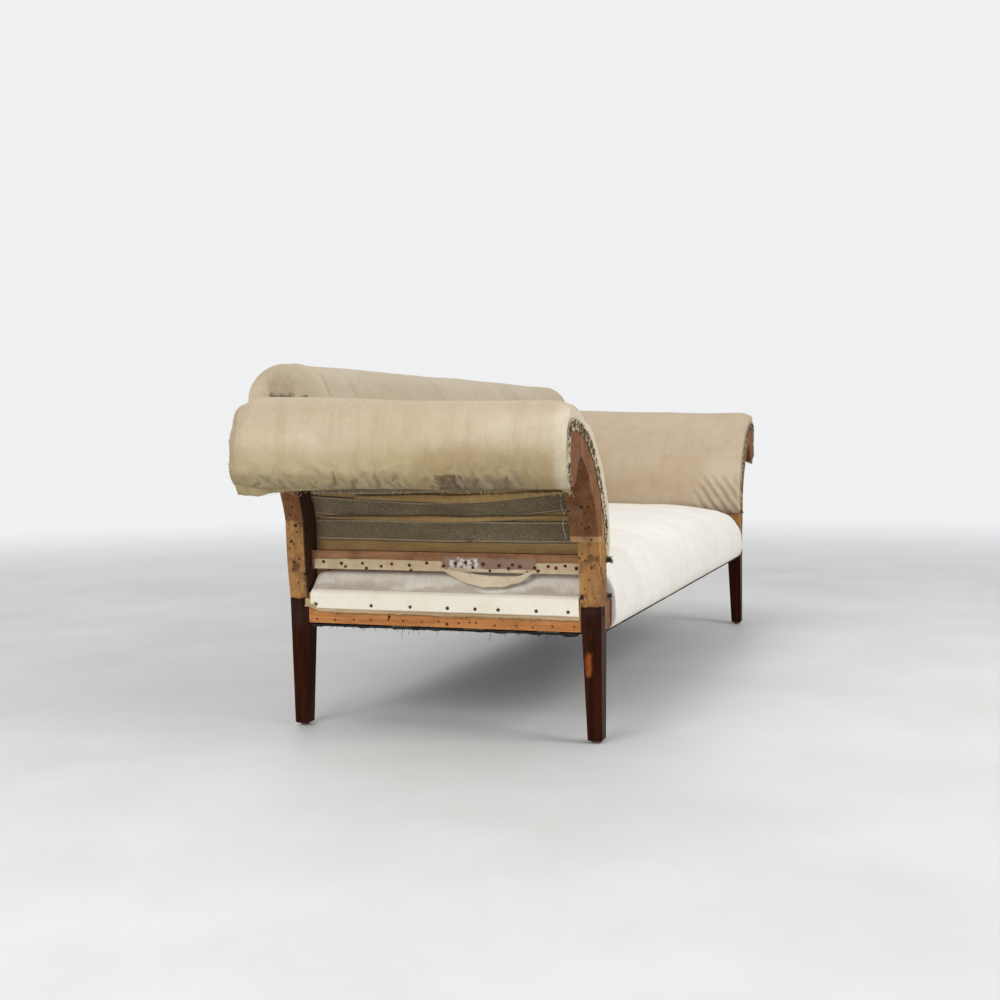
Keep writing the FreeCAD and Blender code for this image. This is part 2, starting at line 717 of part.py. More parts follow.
arm_stuffing_section = closed(shifted(ARM_CORE[:-1], PAD_INNER), backwards(ARM_PAD[:-1]))
arm_cover_section = skin(ARM_PAD, GAP, GAP + CLOTH)
arm_cover_edge = shifted(ARM_PAD, GAP + CLOTH)
CAP_EDGE = [(175, 577), (None, (56, 569)), (None, (-20, 556))]
BORDER_WIDTH = 11
ARM_CLEAR = 3
BELOW_TUCK = 380
arm_cap_section = closed([corners(arm_cover_edge)[2]] + arm_cover_edge[3:], CAP_EDGE)
arm_border_section = closed(arm_cover_edge, backwards(shifted(ARM_CORE, -BORDER_WIDTH)))
arm_reach = closed(shifted(ARM_PAD, ARM_CLEAR), [(240, BELOW_TUCK), (None, (-60, BELOW_TUCK))])
arm_room = {}
upright_rooms = {}
UPRIGHT_ROOM = Vector(60, 200, 300)

for side, sign in SIDES.items():
    stuffing = prism(arm_stuffing_section, at_end(sign, FRONT + GAP), Vector(0, REAR - FRONT - 2 * GAP, 0))
    cover = prism(arm_cover_section, at_end(sign, FRONT - GAP - CLOTH),
                  Vector(0, REAR - FRONT + 2 * (GAP + CLOTH), 0))
    cap = prism(arm_cap_section, at_end(sign, REAR + GAP), Vector(0, CLOTH, 0))
    border = prism(arm_border_section, at_end(sign, FRONT - GAP - CLOTH), Vector(0, CLOTH, 0))
    cover = cover.fuse([cap, border]).removeSplitter()
    upright_room = Part.makeBox(UPRIGHT_ROOM.x, UPRIGHT_ROOM.y, UPRIGHT_ROOM.z,
                                Vector(sign * (HALF - TIMBER), REAR - UPRIGHT_CLEAR, RAIL_TOP))
    if sign > 0:
        upright_room.translate(Vector(-UPRIGHT_ROOM.x, 0, 0))
    upright_rooms[side] = upright_room
    NODES["arm_stuffing_" + side] = soft("arm_stuffing_" + side, stuffing.cut(upright_room))
    NODES["arm_calico_" + side] = soft("arm_calico_" + side, cover.cut(upright_room))
    hessian = NODES["arm_hessian_" + side]
    hessian.Shape = hessian.Shape.cut(upright_room)
    arm_room[side] = prism(arm_reach, at_end(sign, FRONT - ARM_CLEAR),
                           Vector(0, REAR - FRONT + 2 * ARM_CLEAR, 0))

# Stuffing and calico of the back

back_stuffing = prism(closed(shifted(BACK_CORE, PAD_INNER), backwards(BACK_PAD)), at_back(-HALF + GAP),
                      Vector(2 * (HALF - GAP), 0, 0))
back_cover = prism(skin(BACK_PAD, GAP, GAP + CLOTH), at_back(-HALF - GAP - CLOTH),
                   Vector(2 * (HALF + GAP + CLOTH), 0, 0))
BACK_CAP_EDGE = [(40, 690), (None, (6, 690))]
back_cap_section = closed(shifted(BACK_PAD, GAP + CLOTH), BACK_CAP_EDGE)
caps = [prism(back_cap_section, at_back(x), Vector(CLOTH, 0, 0))
        for x in (-HALF - GAP - CLOTH, HALF + GAP)]
back_cover = back_cover.fuse(caps).removeSplitter()
for room in arm_room.values():
    back_stuffing = back_stuffing.cut(room)
    back_cover = back_cover.cut(room)
NODES["back_stuffing"] = soft("back_stuffing", back_stuffing)
NODES["back_calico"] = soft("back_calico", back_cover)

# Stuffing and calico of the seat

SEAT_END = HALF - 88
stations = [(-SEAT_END, 0), (-SEAT_END * 0.55, 0.75), (0, 1), (SEAT_END * 0.55, 0.75), (SEAT_END, 0)]


def seat_loft(make_section):
    """A loft along the couch through one section for each station."""
    sections = [wire(make_section(SEAT_CROWN * share), at_seat(x)) for x, share in stations]
    return Part.makeLoft(sections, True, False)


FRONT_ROLL = [(-3, 258), ((-11, 280), SEAT_TOP[0])]
ROLL_BACK = 60
STUFFING_LOW = RAIL_TOP + 2


def stuffing_section(crown):
    """The seat's stuffing: a front roll that drops over the rail, and a flat underside."""
    top = FRONT_ROLL + crowned(SEAT_TOP, crown)[1:]
    under = [(SEAT_BACK, SEAT_UNDER), (None, (ROLL_BACK, SEAT_UNDER)), (None, (ROLL_BACK, STUFFING_LOW)),
             (None, (-0.5, STUFFING_LOW)), (None, (-0.5, FRONT_ROLL[0][1]))]
    return closed(top, under)


def cover_section(crown):
    """The seat's calico, from under the front rail to the tuck at the back."""
    return skin(SEAT_WRAP + crowned(SEAT_TOP, crown)[1:], GAP, GAP + CLOTH)


# The seat's slope at each end, in (u, z), and the cloth that comes out there and is tacked to the rail

END_START = -87.6
END_SLOPE = [(END_START, 390), (None, (-46, 371)), (None, (-8, 329))]
WEDGE_LOW = RAIL_TOP + 1.5
FLAP_FACE = -0.9
FLAP_END = 276
FLAP_CLOTH = 0.8
END_MARGIN = 6
END_RUN = REAR - FRONT - 2 * (TIMBER + END_MARGIN)
wedge_section = closed(END_SLOPE, [(-4, WEDGE_LOW), (None, (-30, WEDGE_LOW)), (None, (-60, 355)),
                                   (None, (END_START, 366))])
flap_path = END_SLOPE + [(None, (FLAP_FACE, RAIL_TOP + 1)), (None, (FLAP_FACE, FLAP_END))]
flap_section = skin(flap_path, GAP, GAP + FLAP_CLOTH)
for side, sign in SIDES.items():
    wedge = prism(wedge_section, at_end(sign, FRONT + TIMBER + END_MARGIN + GAP),
                  Vector(0, END_RUN - 2 * GAP, 0))
    NODES["seat_end_stuffing_" + side] = soft("seat_end_stuffing_" + side, wedge.cut(upright_rooms[side]))
    flap = prism(flap_section, at_end(sign, FRONT + TIMBER + END_MARGIN), Vector(0, END_RUN, 0))
    NODES["seat_end_flap_" + side] = soft("seat_end_flap_" + side, flap.cut(upright_rooms[side]))
NODES["seat_stuffing"] = soft("seat_stuffing", seat_loft(stuffing_section))
NODES["seat_calico"] = soft("seat_calico", seat_loft(cover_section))

# Cloth below, remnants, glides and tacks

CLOTH_DROP = 1.5
CLOTH_INSET = 3
NOTCH = TIMBER + 2
bottom_z = long_top - dim("web_thickness") - CLOTH_DROP
bottom = Part.makeBox(2 * (HALF - CLOTH_INSET), REAR - FRONT - 2 * CLOTH_INSET, 1,
                      Vector(CLOTH_INSET - HALF, FRONT + CLOTH_INSET, bottom_z))
for sign in SIDES.values():
    for edge, reach in ((FRONT, 1), (REAR, -1)):
        low_x = min(sign * HALF, sign * (HALF - NOTCH))
        low_y = min(edge, edge + reach * NOTCH)
        bottom = bottom.cut(Part.makeBox(NOTCH, NOTCH, 4, Vector(low_x, low_y, bottom_z - 2)))
NODES["bottoming_cloth"] = soft("bottoming_cloth", bottom)

STRIP_MARGIN = 10
STRIP_WIDTH = 20
STRIP_RISE = 4
for side, sign in SIDES.items():
    outer_u = -TIMBER + dim("stuff_rail_thickness") + GAP
    low_x = sign * (HALF + outer_u) - (CLOTH if sign < 0 else 0)
    strip = Part.makeBox(CLOTH, REAR - FRONT - 2 * (TIMBER + STRIP_MARGIN), STRIP_WIDTH,
                         Vector(low_x, FRONT + TIMBER + STRIP_MARGIN, dim("stuff_rail_bottom") + STRIP_RISE))
    NODES["stuff_rail_remnant_" + side] = soft("stuff_rail_remnant_" + side, strip)

glides = []
for side, sign in SIDES.items():
    for place, rear in (("front", False), ("rear", True)):
        glide = doc.addObject("Part::Cone", "glide_" + place + "_" + side)
        glide.setExpression("Radius1", "dims.glide_radius * 0.8")
        glide.setExpression("Radius2", "dims.glide_radius")
        glide.setExpression("Height", "dims.glide_height")
        foot_middle = dim("foot") / 2
        y = REAR - REAR_TAPER - foot_middle if rear else FRONT + foot_middle
        glide.Placement = Placement(Vector(sign * (HALF - foot_middle), y, 0), Rotation())
        glides.append(glide)
NODES["foot_glides"] = group("foot_glides", glides)

TACK_LINE = 296
TACK_Y = (-352, -277, -186, -130, -62, 31, 130, 273)
HEAD_HEIGHT = 1.6
tacks = {}
for side, sign in SIDES.items():
    outward = Vector(sign, 0, 0)
    made = []
    for y in TACK_Y:
        seat = Vector(sign * (HALF + FLAP_FACE + GAP + FLAP_CLOTH + GAP / 2), y, TACK_LINE)
        head = Part.makeCone(dim("tack_head_radius"), dim("tack_head_radius") * 0.6, HEAD_HEIGHT,
                             seat, outward)
        shank = Part.makeCylinder(dim("tack_shank_radius"), dim("tack_length"), seat, outward * -1)
        made.append(head.fuse(shank))
    tacks[side] = made
    holes = []
    for tack in made:
        mouth = Vector(sign * (HALF + GAP + FLAP_CLOTH), tack.BoundBox.Center.y, TACK_LINE)
        holes.append(Part.makeCylinder(dim("tack_shank_radius") + dim("peg_gap"), dim("tack_length") + 2,
                                       mouth, outward * -1))
    holes = Part.makeCompound(holes)
    flap = NODES["seat_end_flap_" + side]
    flap.Shape = flap.Shape.cut(holes)
    hole_feature = doc.addObject("Part::Feature", "tack_holes_" + side)
    hole_feature.Shape = holes
    rail = NODES["seat_end_rail_" + side]
    holed = doc.addObject("Part::Cut", "seat_end_rail_" + side + "_tacked")
    holed.Base = rail
    holed.Tool = hole_feature
    NODES["seat_end_rail_" + side] = holed
NODES["band_tacks"] = soft("band_tacks", Part.makeCompound(tacks["left"] + tacks["right"]))

# Pegs: one group of them, and a hole for each in the timbers that it joins

peg_members = []
holes_of = {}
for number, (point, direction, timbers) in enumerate(PEGS, start=1):
    turn = Rotation(Vector(0, 0, 1), direction)
    place = Placement(point - direction * (dim("peg_length") / 2), turn)
    member = doc.addObject("Part::Cylinder", "peg_" + str(number))
    member.setExpression("Radius", "dims.peg_diameter / 2")
    member.setExpression("Height", "dims.peg_length - 2")
    member.Placement = Placement(point - direction * (dim("peg_length") / 2 - 1), turn)
    peg_members.append(member)
    for timber in timbers:
        hole = doc.addObject("Part::Cylinder", "peg_hole_" + str(number) + "_" + timber)
        hole.setExpression("Radius", "dims.peg_diameter / 2 + dims.peg_gap")
        hole.setExpression("Height", "dims.peg_length")
        hole.Placement = place
        holes_of.setdefault(timber, []).append(hole)
NODES["frame_pegs"] = group("frame_pegs", peg_members)

for timber, holes in holes_of.items():
    drilled = doc.addObject("Part::Cut", timber + "_drilled")
    drilled.Base = NODES[timber]
    drilled.Tool = group(timber + "_holes", holes)
    NODES[timber] = drilled

# Labels, checks and files

doc.recompute()
for name, item in NODES.items():
    for other in doc.Objects:
        if other is not item and other.Label == name:
            other.Label = name + "_blank"
    item.Label = name

for item in doc.Objects:
    if "Invalid" in item.State or "Error" in item.State:
        raise SystemExit(item.Label + " did not compute: " + str(item.State))
os.makedirs("parts", exist_ok=True)
for name, item in sorted(NODES.items()):
    if item.Shape.isNull() or not item.Shape.isValid():
        raise SystemExit(name + " has no valid shape")
    item.Shape.exportStep(os.path.join("parts", name + ".step"))
    bounds = item.Shape.BoundBox
    print(name, len(item.Shape.Solids), "solids", round(item.Shape.Volume / 1000), "cm3",
          [round(v) for v in (bounds.XMin, bounds.XMax, bounds.YMin, bounds.YMax, bounds.ZMin, bounds.ZMax)])
print(len(NODES), "nodes")
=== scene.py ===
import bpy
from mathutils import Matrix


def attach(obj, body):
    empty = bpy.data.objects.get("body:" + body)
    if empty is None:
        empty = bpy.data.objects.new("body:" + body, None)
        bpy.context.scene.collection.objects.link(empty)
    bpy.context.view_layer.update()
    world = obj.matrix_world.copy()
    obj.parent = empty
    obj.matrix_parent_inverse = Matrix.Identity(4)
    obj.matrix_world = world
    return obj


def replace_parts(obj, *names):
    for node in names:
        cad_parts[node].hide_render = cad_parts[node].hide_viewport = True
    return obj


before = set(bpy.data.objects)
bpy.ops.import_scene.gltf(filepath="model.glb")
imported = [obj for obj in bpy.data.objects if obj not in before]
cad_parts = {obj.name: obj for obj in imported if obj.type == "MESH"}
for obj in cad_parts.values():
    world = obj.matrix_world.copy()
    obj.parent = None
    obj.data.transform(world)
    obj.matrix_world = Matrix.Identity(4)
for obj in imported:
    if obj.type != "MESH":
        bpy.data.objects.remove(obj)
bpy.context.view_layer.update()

import random
from math import atan2, cos, exp, pi, radians, sin, tau

import bmesh
import bpy
import numpy as np
from mathutils import Matrix, Vector, noise

# The dressed couch. All lengths are metres in the row frame: X along the couch, the sitter
# faces -Y, Z up. u runs outward from the outer face of a leg, v rearward from the rear face
# of a rear leg. WEB is the webbing's width, and the legs are stained up to STAIN_LINE. A pad has
# LAYERS layers, an arm's line ARM_STEPS points, and the simulation SIM_FRAMES frames.

MM = 0.001
HALF, FRONT, REAR, TIMBER = 1.025, -0.429, 0.341, 0.048
WEB = 0.051
STAIN_LINE = 0.31
LAYERS, ARM_STEPS, SIM_FRAMES = 3, 74, 20
SIDES = {"left": -1, "right": 1}
scene = bpy.context.scene
random.seed(7)


# Lines: the same outlines as the solids, in millimetres, sampled into arrays of metres

def arc_points(a, bow, b, step=3):
    """Points from a to b, straight or on the circle through bow; a is left out."""
    a, b = np.array(a, float), np.array(b, float)
    if bow is None:
        count = max(1, int(np.linalg.norm(b - a) / step))
        return [a + (b - a) * k / count for k in range(1, count + 1)]
    m = np.array(bow, float)
    d = 2 * (a[0] * (m[1] - b[1]) + m[0] * (b[1] - a[1]) + b[0] * (a[1] - m[1]))
    sa, sm, sb = a @ a, m @ m, b @ b
    centre = np.array([(sa * (m[1] - b[1]) + sm * (b[1] - a[1]) + sb * (a[1] - m[1])) / d,
                       (sa * (b[0] - m[0]) + sm * (a[0] - b[0]) + sb * (m[0] - a[0])) / d])
    radius = np.linalg.norm(a - centre)
    turn = (m[0] - a[0]) * (b[1] - m[1]) - (m[1] - a[1]) * (b[0] - m[0])
    start = atan2(*(a - centre)[::-1])
    end = atan2(*(b - centre)[::-1])
    sweep = (end - start) % (tau)
    if turn < 0:
        sweep -= tau
    count = max(2, int(abs(sweep) * radius / step))
    return [centre + radius * np.array([cos(start + sweep * k / count), sin(start + sweep * k / count)])
            for k in range(1, count + 1)]


def line(path):
    """A path of millimetre points as an array of closely spaced points in metres."""
    points = [np.array(path[0], float)]
    for bow, end in path[1:]:
        points.extend(arc_points(points[-1], bow, end))
    return np.array(points) * MM


def lengths(points):
    """How far along the line each point is."""
    return np.concatenate([[0], np.cumsum(np.linalg.norm(np.diff(points, axis=0), axis=1))])


def along_line(points):
    """A function from a share of a line's length to its point."""
    arc = lengths(points)

    def at(distance):
        return np.array([np.interp(distance, arc, points[:, 0]), np.interp(distance, arc, points[:, 1])])
    return at, arc[-1]


def even(points, count):
    """The line again, with this many evenly spaced points."""
    along = lengths(points)
    at = np.linspace(0, along[-1], count)
    return np.stack([np.interp(at, along, points[:, k]) for k in range(2)], axis=1)


def offset(points, distance):
    """The line moved to its left."""
    run = np.gradient(points, axis=0)
    run /= np.linalg.norm(run, axis=1)[:, None]
    return points + distance * np.stack([-run[:, 1], run[:, 0]], axis=1)


POST_INNER = [(-48, 455), ((-40.5, 505), (-22, 548)), ((-10.5, 567.5), (2, 588))]
SCROLL_TOP = [((18.5, 610.5), (36, 632)), ((78, 672), (130, 701)), ((175, 717), (222, 723)),
              ((255, 716), (270, 690)), (None, (273, 640)), ((268, 608), (250, 593))]
ARM_CORE = line([(-48, 402), (None, POST_INNER[0])] + POST_INNER[1:] + SCROLL_TOP)
ARM_PAD = line([(-60, 402), ((-80, 425), (-84, 455)), ((-76, 510), (-57, 560)), ((-22, 613), (24, 658)),
                ((70, 701), (125, 735)), ((165, 759), (205, 771)), ((255, 761), (278, 716)),
                ((283, 668), (278, 622)), ((265, 594), (243, 583))])
BACK_CORE = line([(-75, 402), (None, (-75, 660)), ((-66, 745), (-35, 803)), ((3, 832), (45, 831)),
                  ((78, 820), (88, 788)), (None, (86, 745)), ((83, 731), (72, 724.5))])
BACK_PAD = line([(-95, 402), ((-136, 412), (-150, 445)), ((-148, 560), (-138, 665)), ((-122, 765), (-97, 828)),
                 ((-58, 861), (-8, 868.5)), ((45, 861), (86, 830)), ((101, 797), (98, 757)), ((90, 722), (70, 702))])
SEAT_OUTER = [(26, 248.2), (None, (0, 248.2)), ((-9, 262), (-13, 302)), ((-9, 340), (6, 370)),
              ((30, 396), (80, 412)), ((180, 426), (330, 432)), ((470, 436), (588, 434)), ((613, 424), (620, 398))]
SEAT_INNER = [(26, 249.9), (None, (0.8, 250.2)), (None, (0.4, 258)), (None, (0, 324.6)), (None, (60, 325)),
              (None, (60, 392)), (None, (613, 392))]
SEAT_END = HALF - 0.088


# Materials

class Paint:
    """One procedural material; its methods add nodes and return their output sockets."""

    def __init__(self, name, roughness=0.8, sheen=0, specular=0.3, metallic=0):
        self.material = bpy.data.materials.new(name)
        self.material.use_nodes = True
        self.tree = self.material.node_tree
        self.shader = self.tree.nodes["Principled BSDF"]
        for key, value in (("Roughness", roughness), ("Sheen Weight", sheen), ("Specular IOR Level", specular),
                           ("Metallic", metallic)):
            self.shader.inputs[key].default_value = value
        self.places = self.tree.nodes.new("ShaderNodeTexCoord")

    def add(self, kind, out=0, settings=None, **inputs):
        node = self.tree.nodes.new(kind)
        for key, value in (settings or {}).items():
            setattr(node, key, value)
        for key, value in inputs.items():
            spot = int(key[1:]) if key[0] == "i" and key[1:].isdigit() else key.replace("_", " ")
            if isinstance(value, bpy.types.NodeSocket):
                self.tree.links.new(value, node.inputs[spot])
            else:
                node.inputs[spot].default_value = value
        return node.outputs[out]

    def place(self, uv=False):
        return self.places.outputs["UV" if uv else "Object"]

    def at(self, scale=(1, 1, 1), uv=False):
        return self.add("ShaderNodeMapping", Vector=self.place(uv), Scale=scale)

    def axis(self, name, uv=False):
        return self.add("ShaderNodeSeparateXYZ", out="XYZ".index(name), Vector=self.place(uv))

    def noise(self, vector, scale, detail=4, rough=0.6, distort=0, out=0):
        return self.add("ShaderNodeTexNoise", out, Vector=vector, Scale=scale, Detail=detail, Roughness=rough,
                        Distortion=distort)

    def math(self, operation, a, b=0, c=0):
        return self.add("ShaderNodeMath", settings={"operation": operation}, i0=a, i1=b, i2=c)

    def times(self, a, b):
        return self.math("MULTIPLY", a, b)

    def vector(self, operation, out=0, **inputs):
        return self.add("ShaderNodeVectorMath", out, {"operation": operation}, **inputs)

    def span(self, value, low, high, to_low=0, to_high=1):
        """Rises smoothly from to_low to to_high as the value goes from low to high."""
        return self.add("ShaderNodeMapRange", settings={"interpolation_type": "SMOOTHSTEP"}, Value=value,
                        From_Min=low, From_Max=high, To_Min=to_low, To_Max=to_high)

    def fall(self, value, low, high):
        return self.span(value, low, high, 1, 0)

    def between(self, value, low, high, soft):
        """1 inside a range, with soft edges."""
        return self.times(self.span(value, low - soft, low + soft), self.fall(value, high - soft, high + soft))

    def patches(self, scale, detail, rough, low, high, stretch=(1, 1, 1)):
        """1 where noise is above high, 0 where it is below low."""
        return self.span(self.noise(self.at(stretch), scale, detail, rough), low, high)

    def spot(self, centre, radius):
        """1 near a point of the row frame, with a ragged soft edge."""
        near = self.vector("DISTANCE", "Value", i0=self.place(), i1=centre)
        wide = self.math("MULTIPLY_ADD", self.noise(self.at(), 16, 5, 0.7), radius * 1.2, radius * 0.4)
        return self.fall(self.math("DIVIDE", near, wide), 0.35, 1.2)

    def zone(self, low, high, soft, ragged, scale=40):
        """1 inside a box of the row frame (None leaves an axis open), with ragged soft edges."""
        push = self.vector("SUBTRACT", i0=self.noise(self.at(), scale, 5, 0.7, out=1), i1=(0.5, 0.5, 0.5))
        push = self.vector("SCALE", i0=push, Scale=ragged * 2)
        place = self.vector("ADD", i0=self.place(), i1=push)
        share = None
        for number in range(3):
            if low[number] is not None:
                value = self.add("ShaderNodeSeparateXYZ", out=number, Vector=place)
                inside = self.between(value, low[number], high[number], soft)
                share = inside if share is None else self.times(share, inside)
        return share

    def mix(self, share, a, b):
        return self.add("ShaderNodeMix", out=2, settings={"data_type": "RGBA"}, i0=share, i6=colour(a), i7=colour(b))

    def tint(self, base, share, strength, tone):
        """Lays a tone over the base."""
        return self.mix(self.times(share, strength), base, tone)

    def dirty(self, base, scale, detail, rough, low, high, strength, tone, stretch=(1, 1, 1)):
        """Lays patches of a tone over the base."""
        return self.tint(base, self.patches(scale, detail, rough, low, high, stretch), strength, tone)

    def bump(self, height, strength, distance, under=None):
        below = {} if under is None else {"Normal": under}
        return self.add("ShaderNodeBump", Height=height, Strength=strength, Distance=distance, **below)

    def finish(self, base, normal=None, roughness=None):
        for key, value in (("Base Color", base), ("Normal", normal), ("Roughness", roughness)):
            if value is not None:
                self.tree.links.new(value, self.shader.inputs[key])
        return self.material


def colour(value):
    return value if isinstance(value, bpy.types.NodeSocket) else (*value, 1)


def shaded(tone, share):
    return tuple(c * share for c in tone)


def stretched(axis, others, own):
    """Noise scales that draw streaks across or along one axis."""
    return [own if name == axis else others for name in "XYZ"]


def weave(paint, pitch):
    """A plain weave over the cloth's own coordinates."""
    warp, weft = (paint.math("SINE", paint.times(paint.axis(name, True), tau / pitch)) for name in "XY")
    return paint.times(warp, weft)


def calico(name, light, mid, dark, stains=(), zones=(), crease=1, slub=0.5, bands=(), outside=None,
           along="Y", pulls=()):
    """Cotton cloth: mottled, slubbed and streaked, with stained spots, tinted zones, bands between heights, which on
    the near arm are painted shade under the roll, and pulled folds with painted shade in their troughs.
    """
    paint = Paint(name, roughness=0.92, sheen=0.12, specular=0.15)
    base = paint.mix(paint.patches(3.2, 5, 0.6, 0.32, 0.7, (1, 1, 1.4)), mid, light)
    base = paint.dirty(base, 22, 6, 0.7, 0.4, 0.75, 0.4, dark)
    streaks = paint.noise(paint.at(stretched(along, 1.5, 26)), 1, 5, 0.65)
    base = paint.tint(base, paint.span(streaks, 0.48, 0.72), 0.4 * crease, dark)
    base = paint.tint(base, paint.fall(streaks, 0.3, 0.46), 0.3 * crease, light)
    threads, cross = (paint.noise(paint.at(run, True), 1, 3, 0.7) for run in ((420, 9, 1), (9, 420, 1)))
    base = paint.tint(base, paint.span(paint.math("ADD", threads, cross), 0.8, 1.25), slub * 0.35, dark)
    # A tone between two heights; on the near arm it is painted shade under the roll, kept to the outer side.
    for low, high, soft, tone, share in bands:
        wave = paint.math("MULTIPLY_ADD", paint.noise(paint.at((1, 1, 0.3)), 9, 5, 0.6), 0.09, -0.045)
        inside = paint.between(paint.math("ADD", paint.axis("Z"), wave), low, high, soft)
        if outside is not None:
            inside = paint.times(inside, paint.fall(paint.axis("X"), outside - 0.02, outside))
        base = paint.tint(base, inside, share, tone)
    for centre, radius, tone, share in stains:
        base = paint.tint(base, paint.spot(centre, radius), share, tone)
    for low, high, soft, ragged, tone, share in zones:
        blot = paint.span(paint.noise(paint.at(), 55, 5, 0.7), 0.3, 0.62, 0.55, 1)
        base = paint.tint(base, paint.times(paint.zone(low, high, soft, ragged), blot), share, tone)
    normal = paint.bump(paint.noise(paint.at((1, 1, 0.35)), 24, 3, 0.5, 0.8), 0.5 * crease, 0.005)
    normal = paint.bump(streaks, 0.35 * crease, 0.004, normal)
    normal = paint.bump(paint.noise(paint.at(), 160, 3, 0.6), 0.15, 0.001, normal)
    normal = paint.bump(weave(paint, 0.0009), 0.25, 0.0004, normal)
    for low, high, lean, pitch, warp, share in pulls:
        slant = paint.math("SUBTRACT", paint.axis("Y"), paint.times(paint.axis("Z"), lean))
        slant = paint.math("ADD", paint.times(slant, tau / pitch), paint.times(paint.noise(paint.at(), 9, 3), warp))
        pull = paint.times(paint.math("SINE", slant), paint.zone(low, high, 0.035, 0.02))
        # Darkens the troughs of each pull's folds: painted shade.
        base = paint.tint(base, paint.fall(pull, -0.9, -0.1), share, dark)
        normal = paint.bump(pull, 0.8, 0.007, normal)
    return paint.finish(base, normal)


def grain(paint, axis, light, dark):
    """Wood grain along one axis: long streaks, fine pores, and the relief of both."""
    streaks = paint.span(paint.noise(paint.at(stretched(axis, 26, 1.3)), 3, 6, 0.62, 0.6), 0.3, 0.72)
    pores = paint.patches(1, 2, 0.5, 0.56, 0.75, stretched(axis, 700, 22))
    base = paint.tint(paint.mix(streaks, dark, light), pores, 0.55, shaded(dark, 0.55))
    return base, paint.math("SUBTRACT", streaks, pores)


def holes(paint, scale, share=0.17):
    """Small dark marks: old tack holes and their rust."""
    near = paint.add("ShaderNodeTexVoronoi", Vector=paint.at(), Scale=scale)
    pick = paint.span(paint.noise(paint.at(), scale * 0.6, 1), 0.5, 0.56)
    return paint.times(paint.fall(near, share * 0.6, share), pick)


def behind(paint):
    """1 on the inner side of the rear timbers, which lies in shade."""
    inside = paint.fall(paint.axis("Y"), REAR - TIMBER + 0.0015, REAR - TIMBER + 0.004)
    return paint.times(inside, paint.math("GREATER_THAN", paint.axis("Y"), 0))


def beech(name, axis, light=(0.52, 0.285, 0.11), dark=(0.37, 0.17, 0.058), marks=0.5, grime=(0.12, 0.062, 0.036)):
    """Bare frame timber: orange beech with grime and tack holes."""
    paint = Paint(name, roughness=0.8, specular=0.12)
    base, relief = grain(paint, axis, light, dark)
    base = paint.dirty(base, 9, 6, 0.75, 0.44, 0.72, 0.6, grime)
    blot = paint.patches(42, 5, 0.7, 0.6, 0.7)
    base = paint.tint(base, blot, 0.55, shaded(grime, 0.6))
    base = paint.tint(base, holes(paint, 34), marks * 2, (0.05, 0.026, 0.017))
    return paint.finish(base, paint.bump(blot, -0.3, 0.001, paint.bump(relief, 0.35, 0.0008)))


def leg_wood(name, worn):
    """Polished dark red-brown below a ragged line, bare and grimy timber above it."""
    paint = Paint(name, specular=0.03)
    polish, relief = grain(paint, "Z", (0.041, 0.0102, 0.0036), (0.016, 0.004, 0.0017))
    polish = paint.dirty(polish, 16, 6, 0.75, 0.58, 0.74, 0.5, (0.085, 0.022, 0.0075), (1, 1, 0.4))
    bare, _ = grain(paint, "Z", (0.45, 0.255, 0.092), (0.3, 0.14, 0.045))
    bare = paint.dirty(bare, 7, 4, 0.6, 0.42, 0.62, 0.45, (0.36, 0.165, 0.06), (1, 1, 0.5))
    bare = paint.dirty(bare, 12, 6, 0.8, 0.38, 0.66, 0.75, (0.115, 0.062, 0.036))
    bare = paint.dirty(bare, 38, 5, 0.7, 0.54, 0.64, 0.75, (0.085, 0.042, 0.026), (1, 1, 0.7))
    bare = paint.mix(holes(paint, 42, 0.28), bare, (0.045, 0.022, 0.016))
    # Painted shade, with dark stain, on the inner faces of the rear timbers.
    bare = paint.tint(bare, behind(paint), 0.86, (0.035, 0.018, 0.012))
    ragged = paint.math("MULTIPLY_ADD", paint.noise(paint.at((1, 1, 0.2)), 46, 4, 0.7), 0.014, -0.007)
    height = paint.math("ADD", paint.axis("Z"), ragged)
    above = paint.span(height, STAIN_LINE - 0.0015, STAIN_LINE + 0.0015)
    dust = paint.times(paint.between(height, 0.24, STAIN_LINE, 0.012),
                       paint.patches(26, 5, 0.75, 0.42, 0.62, (1, 1, 0.6)))
    base = paint.tint(paint.mix(above, polish, bare), dust, 0.5, (0.03, 0.019, 0.017))
    scuff = paint.patches(55, 6, 0.8, 0.6, 0.72, (1, 1, 0.5))
    base = paint.tint(base, paint.times(dust, scuff), 0.8, (0.2, 0.165, 0.145))
    if worn:
        base = paint.mix(paint.zone((-1.04, -0.4055, 0.152), (-1, -0.3935, 0.203), 0.006, 0.009, 70), base,
                         (0.25, 0.066, 0.016))
        base = paint.mix(paint.zone((-0.99, -0.45, 0.255), (-0.972, -0.42, 0.318), 0.002, 0.004), base,
                         (0.24, 0.12, 0.06))
    rough = paint.math("MAXIMUM", paint.span(above, 0, 1, 0.36, 0.75), paint.times(dust, 0.6))
    return paint.finish(base, paint.bump(relief, 0.25, 0.0006), rough)


